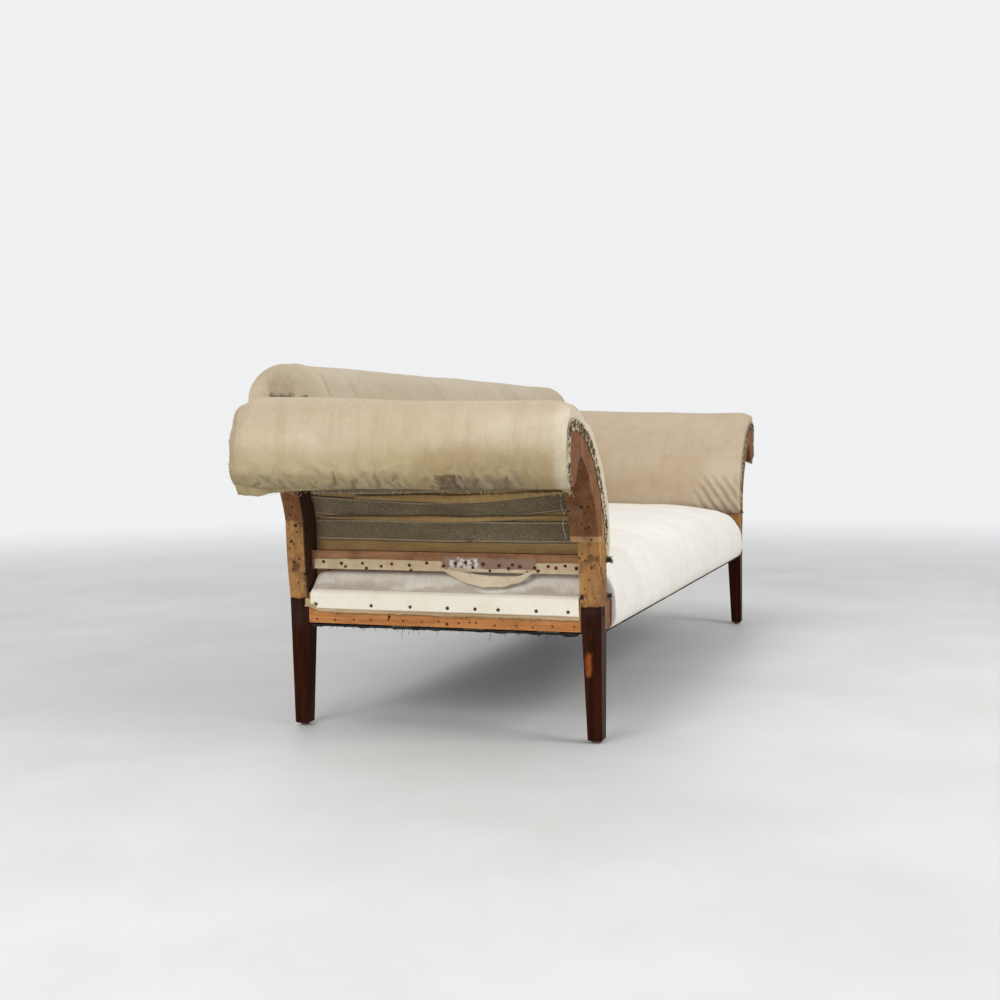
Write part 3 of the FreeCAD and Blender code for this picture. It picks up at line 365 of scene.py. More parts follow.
def scroll_wood(name):
    """The reddish facing board, with a paler purple-grey strip, grime and tack holes."""
    paint = Paint(name, roughness=0.78, specular=0.12)
    base, relief = grain(paint, "Z", (0.235, 0.105, 0.044), (0.145, 0.056, 0.022))
    base = paint.dirty(base, 13, 4, 0.6, 0.48, 0.66, 0.55, (0.255, 0.155, 0.1), (1, 1, 0.25))
    tan = paint.times(paint.between(paint.axis("Z"), 0.44, 0.4685, 0.0015),
                      paint.math("LESS_THAN", paint.axis("Y"), 0))
    base = paint.tint(base, tan, 0.85, (0.43, 0.265, 0.125))
    base = paint.dirty(base, 20, 6, 0.8, 0.46, 0.7, 0.65, (0.075, 0.036, 0.024))
    base = paint.mix(holes(paint, 40, 0.2), base, (0.04, 0.02, 0.015))
    # Painted shade, with dark stain, on the inner faces of the rear timbers.
    base = paint.tint(base, behind(paint), 0.85, (0.035, 0.018, 0.012))
    return paint.finish(base, paint.bump(relief, 0.3, 0.0008))


def stuff_rail_wood():
    """The low arm rail: red-brown, with a bare grey patch of old paint near its front."""
    paint = Paint("beech_red", roughness=0.8, specular=0.12)
    base, relief = grain(paint, "Y", (0.34, 0.175, 0.085), (0.23, 0.105, 0.048))
    base = paint.dirty(base, 15, 6, 0.75, 0.42, 0.68, 0.6, (0.1, 0.05, 0.03))
    base = paint.tint(base, paint.zone((None, -0.27, 0.378), (None, -0.045, 0.412), 0.004, 0.012), 0.6,
                      (0.3, 0.215, 0.175))
    flecks = paint.times(paint.zone((None, -0.135, 0.383), (None, -0.062, 0.41), 0.004, 0.014, 60),
                         paint.patches(70, 5, 0.7, 0.46, 0.54))
    base = paint.mix(flecks, base, (0.62, 0.6, 0.58))
    return paint.finish(base, paint.bump(flecks, 0.4, 0.001, paint.bump(relief, 0.3, 0.0008)))


def hessian(name, light=(0.6, 0.405, 0.17), dark=(0.4, 0.245, 0.095)):
    """Coarse golden jute cloth, with uneven yarns and dirt."""
    paint = Paint(name, roughness=0.95, sheen=0.1, specular=0.1)
    base = paint.mix(paint.patches(7, 5, 0.65, 0.35, 0.7, (1, 0.5, 1)), dark, light)
    yarn = weave(paint, 0.0021)
    base = paint.tint(base, paint.fall(yarn, -0.95, -0.35), 0.35, (0.14, 0.085, 0.04))
    uneven = paint.span(paint.noise(paint.at((500, 14, 1), True), 1, 3, 0.6), 0.4, 0.7)
    base = paint.tint(base, uneven, 0.4, (0.19, 0.11, 0.05))
    normal = paint.bump(paint.noise(paint.at((1, 0.4, 1)), 30, 4, 0.6, 0.5), 0.4, 0.004)
    return paint.finish(base, paint.bump(yarn, 0.6, 0.0008, normal))


def webbing(name):
    """Herringbone webbing; its first coordinate runs along the band, its second across it."""
    paint = Paint(name, roughness=0.9, sheen=0.1, specular=0.15)
    along, across = paint.axis("X", True), paint.axis("Y", True)
    slant = paint.math("ADD", paint.times(paint.math("PINGPONG", across, 0.0085), 0.9), along)
    wander = paint.times(paint.noise(paint.at(), 60, 2), 0.0015)
    twill = paint.math("SINE", paint.times(paint.math("ADD", slant, wander), tau / 0.0056))
    pale = paint.mix(paint.patches(9, 5, 0.65, 0.35, 0.7, (1, 0.6, 1)), (0.37, 0.295, 0.17), (0.57, 0.475, 0.3))
    fleck = paint.span(paint.noise(paint.at((700, 220, 1), True), 1, 2, 0.5), 0.42, 0.62, 0.45, 1)
    base = paint.tint((0.085, 0.062, 0.037), paint.span(twill, -0.45, 0.65), fleck, pale)
    edge = paint.math("ABSOLUTE", paint.math("SUBTRACT", across, WEB / 2))
    base = paint.tint(base, paint.between(edge, 0.0206, 0.0232, 0.0005), 0.6, (0.52, 0.435, 0.28))
    base = paint.mix(paint.span(edge, 0.0233, 0.024), base, (0.15, 0.115, 0.08))
    base = paint.dirty(base, 14, 6, 0.7, 0.5, 0.7, 0.6, (0.13, 0.095, 0.06), (1, 0.7, 1))
    base = paint.dirty(base, 23, 5, 0.75, 0.62, 0.7, 0.7, (0.07, 0.045, 0.028), (1, 0.8, 1))
    normal = paint.bump(twill, 0.6, 0.0009)
    return paint.finish(base, paint.bump(paint.noise(paint.at(), 40, 3), 0.35, 0.003, normal))


def worn_metal(name, tone, rust, roughness=0.45, share=0.5):
    """Old steel or copper-washed wire with rust."""
    paint = Paint(name, roughness=roughness, specular=0.5, metallic=0.75)
    spots = paint.patches(260, 4, 0.7, 1 - share - 0.1, 1 - share + 0.15)
    return paint.finish(paint.mix(spots, tone, rust), paint.bump(spots, 0.3, 0.0003))


def black_cloth(name):
    paint = Paint(name, roughness=0.95, sheen=0.1, specular=0.1)
    base = paint.dirty((0.016, 0.016, 0.018), 12, 6, 0.7, 0.45, 0.75, 0.6, (0.075, 0.07, 0.065))
    return paint.finish(base, paint.bump(weave(paint, 0.0012), 0.4, 0.0004))


def fibre(name, tone):
    paint = Paint(name, roughness=1, sheen=0.1, specular=0.05)
    return paint.finish(paint.mix(paint.patches(120, 4, 0.7, 0.35, 0.7), shaded(tone, 0.6), tone))


# Looks of the calico: tones, how creased and slubbed it is, and its marks. A band, zone or pull lies
# between two heights or corners, a stain round a point; each ends with its tone and its share.
# The near arm's olive bands and zone and the hem's tones are painted shade under the roll; each pull paints shade
# into its fold troughs.

OLD = dict(light=(0.56, 0.47, 0.345), mid=(0.5, 0.4, 0.27), dark=(0.405, 0.305, 0.185))
OLIVE_SHADE, SHADE = (0.36, 0.285, 0.125), (0.235, 0.175, 0.075)
BROWN, DIRT = (0.105, 0.068, 0.038), (0.15, 0.11, 0.065)
CALICO = {
    "arm_left": dict(
        OLD, crease=1.2, outside=-1.2, stains=[((-1.175, 0.262, 0.76), 0.04, DIRT, 0.7)],
        # Painted shade on the underside of the roll: olive, deeper lower down.
        bands=[(0.5, 0.664, 0.03, OLIVE_SHADE, 0.55), (0.5, 0.612, 0.012, SHADE, 0.55)],
        pulls=[((-1.36, -0.36, 0.55), (-1.2, 0.31, 0.628), 0.4, 0.058, 16, 0.45)],
        zones=[((None, None, 0.742), (None, None, 0.83), 0.02, 0.01, (0.42, 0.32, 0.225), 0.7),
               # Darker olive under the front of the roll: painted shade.
               ((-1.35, -0.44, 0.56), (-1.2, -0.1, 0.664), 0.03, 0.03, (0.29, 0.205, 0.095), 0.6),
               ((-1.32, -0.203, 0.575), (-1.2, -0.142, 0.614), 0.003, 0.012, BROWN, 0.95),
               ((-1.32, -0.33, 0.575), (-1.2, -0.195, 0.605), 0.008, 0.018, DIRT, 0.75),
               ((-1.32, -0.245, 0.64), (-1.2, -0.185, 0.672), 0.014, 0.016, (0.36, 0.26, 0.16), 0.6),
               ((-1.32, 0.326, 0.6), (-1, 0.36, 0.79), 0.003, 0.006, (0.3, 0.23, 0.15), 0.6),
               ((-1.4, -0.46, 0.45), (-0.95, -0.406, 0.755), 0.012, 0.012, (0.66, 0.61, 0.49), 0.5)]),
    "arm_right": dict(
        light=(0.505, 0.41, 0.3), mid=(0.46, 0.36, 0.25), dark=(0.385, 0.285, 0.18), crease=0.5,
        pulls=[((0.94, -0.44, 0.4), (1.12, -0.285, 0.52), 0.7, 0.036, 4, 0.45)],
        stains=[((0.97, -0.36, 0.56), 0.09, (0.56, 0.48, 0.36), 0.4)]),
    "back": dict(
        light=(0.49, 0.425, 0.315), mid=(0.44, 0.365, 0.255), dark=(0.36, 0.28, 0.175), along="X", crease=0.8,
        zones=[((-1.08, 0.385, 0.74), (-0.99, 0.47, 0.838), 0.01, 0.012, (0.59, 0.45, 0.31), 0.7),
               ((-1.08, 0.318, 0.785), (-0.97, 0.388, 0.838), 0.016, 0.035, (0.34, 0.26, 0.165), 0.75),
               ((-1.08, 0.32, 0.772), (-1, 0.384, 0.7965), 0.004, 0.022, (0.13, 0.095, 0.045), 0.95),
               ((-1.08, 0.28, 0.772), (-1, 0.3, 0.7935), 0.003, 0.016, (0.12, 0.09, 0.05), 0.8)]),
    "seat": dict(
        light=(0.8, 0.775, 0.72), mid=(0.75, 0.72, 0.655), dark=(0.64, 0.59, 0.51), along="X", crease=0.6,
        slub=0.25, stains=[((0.8, -0.12, 0.44), 0.1, (0.78, 0.655, 0.42), 0.5),
                           ((0.62, -0.02, 0.45), 0.09, (0.78, 0.69, 0.5), 0.35),
                           ((0.35, 0.05, 0.45), 0.1, (0.76, 0.7, 0.6), 0.3),
                           ((-0.93, -0.3, 0.4), 0.05, (0.68, 0.62, 0.52), 0.3)]),
    "band": dict(light=(0.84, 0.79, 0.68), mid=(0.82, 0.76, 0.63), dark=(0.7, 0.62, 0.48), crease=0.5, slub=0.2),
    "slope": dict(
        light=(0.8, 0.76, 0.68), mid=(0.75, 0.695, 0.6), dark=(0.58, 0.52, 0.43), crease=1.3, slub=0.3,
        bands=[(0.318, 0.34, 0.006, (0.34, 0.27, 0.2), 0.55)],
        zones=[((-1.04, 0.05, 0.32), (-0.98, 0.24, 0.352), 0.008, 0.014, (0.4, 0.32, 0.25), 0.5),
               ((-1.04, -0.37, 0.32), (-0.98, -0.24, 0.35), 0.008, 0.014, (0.42, 0.34, 0.28), 0.45)]),
    "strip": dict(
        light=(0.68, 0.575, 0.415), mid=(0.61, 0.495, 0.34), dark=(0.36, 0.25, 0.14), crease=1.2,
        zones=[((None, None, 0.385), (None, None, 0.42), 0.003, 0.012, (0.42, 0.28, 0.12), 0.35)]),
    # The hem's dark olive tones are painted shade under the arm roll.
    "hem": dict(
        light=(0.4, 0.325, 0.165), mid=(0.29, 0.225, 0.1), dark=(0.12, 0.08, 0.04), crease=1,
        zones=[((None, -0.345, None), (None, -0.14, None), 0.004, 0.01, BROWN, 0.9)]),
    "rim": dict(light=(0.66, 0.61, 0.5), mid=(0.5, 0.43, 0.29), dark=(0.2, 0.15, 0.09), crease=1.5, slub=1.2),
}
MATERIALS = {key: calico("calico_" + key, **look) for key, look in CALICO.items()}
MATERIALS.update({"hessian": hessian("hessian"),
    "raw": hessian("hessian_raw_edge", (0.66, 0.5, 0.3), (0.48, 0.34, 0.18)), "webbing": webbing("webbing"),
    "black": black_cloth("black_lining"),
    "wire": worn_metal("spring_wire", (0.36, 0.22, 0.13), (0.12, 0.06, 0.035), 0.4),
    "tack": worn_metal("tack_steel", (0.05, 0.045, 0.045), (0.09, 0.035, 0.018), 0.5),
    "rust": worn_metal("rusty_tack", (0.085, 0.035, 0.015), (0.13, 0.05, 0.02), 0.85, 0.7),
    "glide": worn_metal("glide_steel", (0.22, 0.21, 0.2), (0.1, 0.06, 0.04), 0.5),
    "thread": fibre("pale_thread", (0.8, 0.77, 0.68)), "fray": fibre("frayed_yarn", (0.52, 0.4, 0.2)),
    "fuzz": fibre("dark_fuzz", (0.085, 0.06, 0.045)), "black_thread": fibre("black_thread", (0.03, 0.03, 0.032)),})

SLOTS = {key: slot for slot, keys in {
    "old_calico": ("arm_left", "arm_right", "back", "strip", "hem", "rim", "fray", "fuzz"),
    "white_calico": ("seat", "slope", "band", "thread"), "hessian": ("hessian", "raw"), "webbing": ("webbing",),
    "black_cloth": ("black", "black_thread"), "spring_steel": ("wire",), "tack_steel": ("tack", "rust"),
}.items() for key in keys}

# What the carried-over solids wear: the starts and the end of a node's name, and its material

WORN = ((("leg_post",), "left", leg_wood("leg_wood_left", True)),
    (("leg_post",), "right", leg_wood("leg_wood_right", False)), (("scroll_board",), "", scroll_wood("scroll_wood")),
    (("seat_end_rail",), "", beech("beech_orange", "Y", (0.55, 0.245, 0.082), (0.38, 0.145, 0.045), 0.5,
                                   (0.14, 0.055, 0.024))), (("arm_stuff_rail",), "", stuff_rail_wood()),
    (("arm_lip", "arm_top", "seat_brace"), "", beech("beech_y", "Y")),
    (("back_end", "back_middle"), "", beech("beech_z", "Z")),
    (("seat_front_rail",), "", beech("beech_front", "X", (0.22, 0.115, 0.055), (0.12, 0.06, 0.03), 0.7)),
    (("corner_block", "seat_back_rail", "back_crest_rail", "back_lip_rail", "back_stuff_rail", "frame_pegs"), "",
     beech("beech_x", "X")),
    (("band_tacks",), "", MATERIALS["tack"]),
    (("foot_glides",), "", MATERIALS["glide"]),
)
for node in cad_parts:
    for starts, end, material in WORN:
        if node.startswith(starts) and node.endswith(end):
            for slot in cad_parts[node].material_slots:
                slot.material = material


# Meshes

def piece(name, verts, faces, key, uvs=None):
    """A new object that rides on the couch, with its material and its coordinates on the cloth."""
    mesh = bpy.data.meshes.new(name)
    mesh.from_pydata([tuple(v) for v in verts], [], faces)
    if uvs is not None:
        layer = mesh.uv_layers.new(name="cloth")
        for loop in mesh.loops:
            layer.data[loop.index].uv = uvs[loop.vertex_index]
    for polygon in mesh.polygons:
        polygon.use_smooth = True
    mesh.materials.append(MATERIALS[key])
    made = bpy.data.objects.new(name, mesh)
    scene.collection.objects.link(made)
    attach(made, "root")
    return made


def facing_out(made):
    """Turns all faces of a closed mesh outward."""
    shape = bmesh.new()
    shape.from_mesh(made.data)
    bmesh.ops.recalc_face_normals(shape, faces=shape.faces)
    if shape.calc_volume(signed=True) < 0:
        bmesh.ops.reverse_faces(shape, faces=shape.faces)
    shape.to_mesh(made.data)
    shape.free()


def slab(name, outer, inner, along, place, key, layers=LAYERS):
    """A closed pad: the lattice between an inner and an outer line, swept over stations.

    Returns the object and, for each vertex, its steps (along the line, station, layer)."""
    count, last = len(outer), len(along) - 1
    arc = lengths(outer)
    index, verts, uvs, faces = {}, [], [], []

    def at(i, j, k):
        if (i, j, k) not in index:
            share, deep = k / layers, (layers - k) * 0.01
            index[i, j, k] = len(verts)
            verts.append(place(outer[i] * share + inner[i] * (1 - share), along[j]))
            uvs.append((arc[i] + (deep if i == count - 1 else -deep if i == 0 else 0),
                        along[j] + (deep if j == last else -deep if j == 0 else 0)))
        return index[i, j, k]

    for k in (0, layers):
        for i in range(count - 1):
            for j in range(last):
                faces.append([at(i, j, k), at(i + 1, j, k), at(i + 1, j + 1, k), at(i, j + 1, k)])
    for j in (0, last):
        for i in range(count - 1):
            for k in range(layers):
                faces.append([at(i, j, k), at(i + 1, j, k), at(i + 1, j, k + 1), at(i, j, k + 1)])
    for i in (0, count - 1):
        for j in range(last):
            for k in range(layers):
                faces.append([at(i, j, k), at(i, j + 1, k), at(i, j + 1, k + 1), at(i, j, k + 1)])
    made = piece(name, verts, faces, key, uvs)
    facing_out(made)
    return made, list(index)


def grid(name, place, steps, size, key, thickness):
    """A sheet: place(s, t) for s and t from 0 to 1, size is its width and length."""
    rows, columns = steps
    shares = [(i / rows, j / columns) for i in range(rows + 1) for j in range(columns + 1)]
    wide = columns + 1
    faces = [[i * wide + j, (i + 1) * wide + j, (i + 1) * wide + j + 1, i * wide + j + 1]
             for i in range(rows) for j in range(columns)]
    made = piece(name, [place(s, t) for s, t in shares], faces, key, [(s * size[0], t * size[1]) for s, t in shares])
    solid = made.modifiers.new("thickness", "SOLIDIFY")
    solid.thickness = thickness
    solid.offset = 0
    return made


def cloth(name, place, steps, flat, key, thickness, rests_on, stands_for=None, held="stretched", size=None,
          trim=None, **cut):
    """A sheet with its flat size and the node that it stands for; size is its drawn size where that differs."""
    made = grid(name, place, steps, size or flat, key, thickness)
    if trim:
        trim(made)
    if stands_for:
        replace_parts(made, stands_for)


def wobble(x, y=0, z=0, seed=0):
    """Smooth repeatable noise from about -1 to 1."""
    return noise.noise(Vector((x + seed * 17.3, y - seed * 5.1, z + seed)))


def jitter(size):
    return random.uniform(-size, size)


def smooth(low, high, value):
    """0 at low, 1 at high, smooth between them."""
    share = min(max((value - low) / (high - low), 0), 1)
    return share * share * (3 - 2 * share)


def subdivide(made):
    made.modifiers.new("smooth", "SUBSURF").levels = 1
    made.modifiers["smooth"].render_levels = 1


def ring(centre, turn, radius, height, sides):
    """Points on a circle square to a direction."""
    return [centre + turn @ Vector((radius * cos(tau * k / sides),
                                    radius * sin(tau * k / sides), height)) for k in range(sides)]


def wall(first, rings, sides):
    """The faces between rings of points that follow each other."""
    return [[a, b, b + sides, a + sides] for start in range(first, first + rings * sides, sides)
            for a, b in ((start + k, start + (k + 1) % sides) for k in range(sides))]


def domes(name, spots, radius, key, sides=8):
    """Tack heads: low domes, each at a point and facing along a direction."""
    verts, faces = [], []
    for centre, normal in spots:
        turn = Vector(normal).normalized().to_track_quat("Z", "Y")
        size = radius * (1 + 0.25 * wobble(centre[1] * 90, centre[2] * 90, centre[0] * 30))
        first = len(verts)
        for share, height in ((1, -0.15), (1, 0.12), (0.62, 0.42)):
            verts += ring(Vector(centre), turn, size * share, size * height, sides)
        verts.append(Vector(centre) + turn @ Vector((0, 0, size * 0.52)))
        faces += wall(first, 2, sides)
        high, top = first + 2 * sides, first + 3 * sides
        faces += [[high + k, high + (k + 1) % sides, top] for k in range(sides)]
        faces.append([first + k for k in reversed(range(sides))])
    piece(name, verts, faces, key)


def tubes(name, lines, radius, key, sides=4):
    """Threads and wire: round tubes along lines of points."""
    verts, faces = [], []
    for points in lines:
        points = [Vector(p) for p in points]
        first, last = len(verts), len(points) - 1
        for k, point in enumerate(points):
            run = (points[min(k + 1, last)] - points[max(k - 1, 0)]).normalized()
            verts += ring(point, run.to_track_quat("Z", "Y"), radius, 0, sides)
        faces += wall(first, last, sides)
        faces.append([first + s for s in reversed(range(sides))])
        faces.append([first + last * sides + s for s in range(sides)])
    return piece(name, verts, faces, key)


def at_end(sign):
    """Puts (u, z) and y in the row frame."""
    return lambda point, y: Vector((sign * (HALF + point[0]), y, point[1]))


# The pads' folds: how far an outer point moves, by its place and its step along the line

def arm_folds(seed):
    def amount(place, step):
        y, z = place.y, place.z
        nose = exp(-((z - 0.6) / 0.042) ** 2) if abs(place.x) > HALF + 0.15 else 0
        pucker = 0.0065 * wobble(y * 30, z * 5, 0, seed) + 0.003 * wobble(y * 85, z * 9, 1, seed)
        slow = 0.0025 * wobble(y * 6, z * 5, abs(place.x) * 5, seed + 1)
        slow *= min(1, step / 8) * min(1, (ARM_STEPS - 1 - step) / 6)
        crest, high = smooth(0.7, 0.75, z), smooth(0.66, 0.74, z)
        rise = 0.011 * smooth(-0.1, 0.26, y) * smooth(0.7, 0.76, z)
        corner = (0.009 + 0.01 * high) * smooth(REAR - 0.035 - 0.03 * high, REAR + 0.002, y) ** 2
        corner += 0.012 * smooth(FRONT + 0.045, FRONT, y) ** 2 * crest
        corner += 0.006 * smooth(0, -0.3, y) * crest
        lift = 0.005 * smooth(0, -0.25, y) * smooth(0.61, 0.595, z)
        total = nose * (pucker + 0.0015) + slow + rise - corner - lift
        tight = smooth(0.71, 0.69, z) * smooth(HALF + 0.16, HALF + 0.2, abs(place.x))
        lip_rail = abs(z - 0.615) < 0.03
        floor = 0.001 + 0.003 * smooth(0.16, 0.26, y) if lip_rail else -0.0015
        return max(total, floor) if tight > 0.5 and y < REAR - 0.046 else total
    return amount


def back_folds(place, step):
    total = 0.003 * wobble(place.x * 4.5, place.z * 4, place.y * 4, 3) \
        + 0.0012 * wobble(place.x * 16, place.z * 6, 2, 4) - 0.0008
    return max(total, -0.0008) if place.y > REAR + 0.07 else total


def seat_folds(place, step):
    front = exp(-((place.z - 0.33) / 0.06) ** 2)
    return 0.0025 * wobble(place.x * 5, place.y * 5, 0, 5) * min(1, step / 12) \
        + 0.0013 * front * wobble(place.x * 26, place.z * 8, 0, 6) - 0.001


# The pads: arms, back and seat, each blown up a little inside its cloth

def stations(low, high, cell):
    """Evenly spaced stations, with close ones at both ends so that the edges stay crisp."""
    inner = np.linspace(low + 0.005, high - 0.005, max(3, int((high - low) / cell)))
    return [low, *inner, high]


def pad(name, lines, along, place, key, stands_for, edges, ends, cap, slack, folds, run):
    """A closed cloth body: its first and last steps and stations are held where edges and ends say."""
    made, steps = slab(name, *lines, along, place, key)
    held = [n for n, (i, j, k) in enumerate(steps) if k <= 1 or i <= edges[0] or i >= edges[1] or j in ends]
    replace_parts(made, *stands_for)
    pads.append((made, steps, held, cap, slack, folds, run))


def back_place(point, x):
    rising = ARM_PAD[:int(len(ARM_PAD) * 0.45)]
    reach = HALF + 0.001
    if point[1] < 0.66:
        reach = min(reach, HALF + float(np.interp(point[1], rising[:, 1], rising[:, 0])) - 0.003)
    return Vector((x / HALF * reach, REAR + point[0], point[1]))


def seat_place(point, x):
    crown = 0.013 * max(0, 1 - (x / SEAT_END) ** 2) * min(max((point[1] - 0.37) / 0.05, 0), 1)
    drop = 0.01 * (max(0, abs(x) - (SEAT_END - 0.03)) / 0.03) ** 2 if point[1] > 0.41 else 0
    return Vector((x, FRONT + point[0], point[1] + crown - drop))


pads = []
for side, sign in SIDES.items():
    pad("arm_pad_" + side, (even(offset(ARM_PAD, 0.001), ARM_STEPS), even(offset(ARM_CORE, 0.0042), ARM_STEPS)),
        stations(FRONT - 0.0012, REAR + 0.0012, 0.012), at_end(sign), "arm_" + side,
        ("arm_stuffing_" + side, "arm_calico_" + side), (2, 71), (0,), 0.005, 0.012,
        arm_folds(1 if side == "left" else 2), 1)
back_line = offset(BACK_PAD, 0.0005)
pad("back_pad", (even(back_line, 84), even(offset(BACK_CORE, 0.0042), 84)), stations(-HALF, HALF, 0.0165),
    back_place, "back", ("back_stuffing", "back_calico"), (2, 81), (), 0.007, 0.006, back_folds, 0)
seat_stations = stations(-SEAT_END, SEAT_END, 0.0165)
pad("seat_pad", (even(line(SEAT_OUTER), 72), even(line(SEAT_INNER), 72)), seat_stations, seat_place, "seat",
    ("seat_stuffing", "seat_calico"), (9, 69), (0, len(seat_stations) - 1), 0.006, 0.006, seat_folds, 0)

over_at, over_long = along_line(back_line[int(np.argmax(BACK_PAD[:, 1] > 0.6405)):])
under_at, under_long = along_line(line([(-10, 640), ((-5, 700), (12, 762)), ((30, 778), (48, 768)),
                                        (None, (58, 735))]))
for side, sign in SIDES.items():
    def end_cover(s, t):
        point = over_at(t * over_long) * (1 - s) + under_at(t * under_long) * s
        dome = 0.011 * sin(pi * min(1, s * 1.1)) ** 0.6 + 0.0012 * wobble(t * 9, s * 3, 0, 48 + sign)
        return Vector((sign * (HALF + 0.0015 + max(0, dome)), REAR + point[0], point[1]))

    cloth("back_end_cover_" + side, end_cover, (14, 90), (0.11, 0.4), "back", 0.001,
          ["back_end_upright_" + side], size=(0.085, 0.42))


def settle(jobs):
    """Blows every pad up inside its cloth, then keeps each point within its cap."""
    rest = {}
    for made, _, held, _, slack, _, _ in jobs:
        made.vertex_groups.new(name="held").add(held, 1, "REPLACE")
        blown = made.modifiers.new("cloth", "CLOTH")
        for key, value in dict(quality=5, mass=0.25, tension_stiffness=12, compression_stiffness=12,
                               shear_stiffness=5, bending_stiffness=0.4, vertex_group_mass="held",
                               use_pressure=True, uniform_pressure_force=4, shrink_min=-slack).items():
            setattr(blown.settings, key, value)
        blown.settings.effector_weights.gravity = 0
        blown.point_cache.frame_start, blown.point_cache.frame_end = 1, SIM_FRAMES
        rest[made.name] = (np.array([v.co for v in made.data.vertices]),
                           np.array([v.normal for v in made.data.vertices]))
    scene.frame_start, scene.frame_end = 1, SIM_FRAMES
    for number in range(1, SIM_FRAMES + 1):
        scene.frame_set(number)
    graph = bpy.context.evaluated_depsgraph_get()
    for made, _, _, cap, _, _, _ in jobs:
        moved = np.array([v.co for v in made.evaluated_get(graph).data.vertices])
        start, normals = rest[made.name]
        step = moved - start
        inward = np.maximum(0, -0.001 - (step * normals).sum(axis=1))
        step += normals * inward[:, None]
        far = np.linalg.norm(step, axis=1)
        step *= (np.minimum(far, cap) / np.maximum(far, 1e-9))[:, None]
        made.modifiers.remove(made.modifiers["cloth"])
        made.data.vertices.foreach_set("co", (start + step).astype(np.float32).ravel())
        made.data.update()
    scene.frame_set(1)


def press(made, steps, folds, run):
    """Moves each outer point by folds(place, step), square to the pad's run; the ends' points follow it."""
    points = made.data.vertices
    moves = {}
    for n, (i, j, k) in enumerate(steps):
        if k == LAYERS:
            normal = points[n].normal.copy()
            normal[run] = 0
            moves[i, j] = normal.normalized() * folds(points[n].co, i)
    for n, (i, j, k) in enumerate(steps):
        if k and (i, j) in moves:
            points[n].co += moves[i, j] * (k / LAYERS)
    made.data.update()


settle(pads)
for made, steps, _, _, _, folds, run in pads:
    press(made, steps, folds, run)
    subdivide(made)


# Hessian and webbing of the arms

def over_post(y):
    """1 where a sheet lies over the rear post's edge."""
    return smooth(REAR - 0.098, REAR - 0.086, y)


RUN = REAR - 0.051 - (FRONT + 0.008)
core_at, _ = along_line(ARM_CORE)
sheet_at, sheet_long = along_line(offset(ARM_CORE[:-6], 0.0036))
sheet_wide = REAR - 0.0505 - (FRONT + 0.004)
for side, sign in SIDES.items():
    place = at_end(sign)
    posts = ["leg_post_front_" + side, "leg_post_rear_" + side]

    def hessian_place(s, t):
        point = sheet_at(s * sheet_long)
        y = FRONT + 0.004 + t * sheet_wide
        bulge = 0.0012 * wobble(y * 14, point[1] * 30, 0, 8 + sign)
        return place(point + np.array([0.0052 * over_post(y) - bulge * (0.2 < t < 0.88), 0]), y)

    cloth("arm_hessian_sheet_" + side, hessian_place, (60, 60), (sheet_long, sheet_wide), "hessian", 0.0008,
          posts, "arm_hessian_" + side)
    for number, (start, sag, lean) in enumerate(((0.046, 0.003, 0), (0.103, 0.012, 0.004), (0.162, 0.01, 0.034))):
        def band_place(s, t):
            dip = sag * sin(pi * s) + 0.0016 * wobble(s * 5, number, 0, 9)
            if number == 1:
                dip -= 0.03 * max(0, (0.6 - s) / 0.6) ** 1.3 + 0.009 * max(0, (s - 0.6) / 0.4) ** 1.5 - 0.003
            point = core_at(start - dip + lean * (1 - s) + t * WEB)
            below = core_at(start - dip + t * WEB + 0.001)
            run = (below - point) / np.linalg.norm(below - point)
            out = 0.0016 + 0.0018 * sin(pi * s) * (0.5 + 0.5 * wobble(s * 9, t * 2, number, 10))
            curl = 0.0016 * (2 * abs(t - 0.5)) ** 3
            point = point + (out * -0.6 + 0.0022 - curl) * np.array([-run[1], run[0]])
            y = FRONT + 0.008 + s * RUN
            return place(point + np.array([0.0045 * over_post(y), 0]), y)

        cloth(f"arm_webbing_{side}_{number + 1}", band_place, (110, 10), (RUN, WEB), "webbing", 0.0012,
              posts, None if number else "arm_webbing_" + side)

# Two loose folds of hessian that lie over the webbing's edges on the open near end

for number, (start, wide, drop, low, high) in enumerate(((0.0975, 0.014, 0.006, 0.02, 0.985),
                                                         (0.15, 0.022, 0.01, 0.16, 0.98))):
    def fold_place(s, t):
        narrow = 0.35 + 0.65 * sin(pi * min(1, s * 1.15)) + 0.15 * wobble(s * 7, number, 0, 12)
        dip = drop * sin(pi * s) - (0.012 + 0.012 * number) * smooth(0.45, 1, s)
        out = 0.004 + 0.003 * sin(pi * t) + 0.0012 * wobble(s * 11, t, number, 13)
        return at_end(-1)(core_at(start - dip + t * wide * narrow) + np.array([out, 0]),
                          REAR - 0.051 - (low + (high - low) * s) * RUN)

    cloth(f"hessian_fold_left_{number + 1}", fold_place, (90, 6), (RUN * (high - low), wide * 0.9), "hessian",
          0.0008, ["arm_webbing_left_1"], held="folded", size=(RUN * (high - low), wide))

# Back hessian and webbing

back_rails = ["back_stuff_rail", "back_crest_rail"]
back_at, back_long = along_line(offset(BACK_CORE[:-3], 0.0036))
web_at, _ = along_line(offset(BACK_CORE, 0.0014))
BACK_WIDE, WEB_LONG = 1.95, 0.5


def back_sheet(s, t):
    point = back_at(s * back_long)
    return Vector((-BACK_WIDE / 2 + t * BACK_WIDE, REAR + point[0], point[1]))


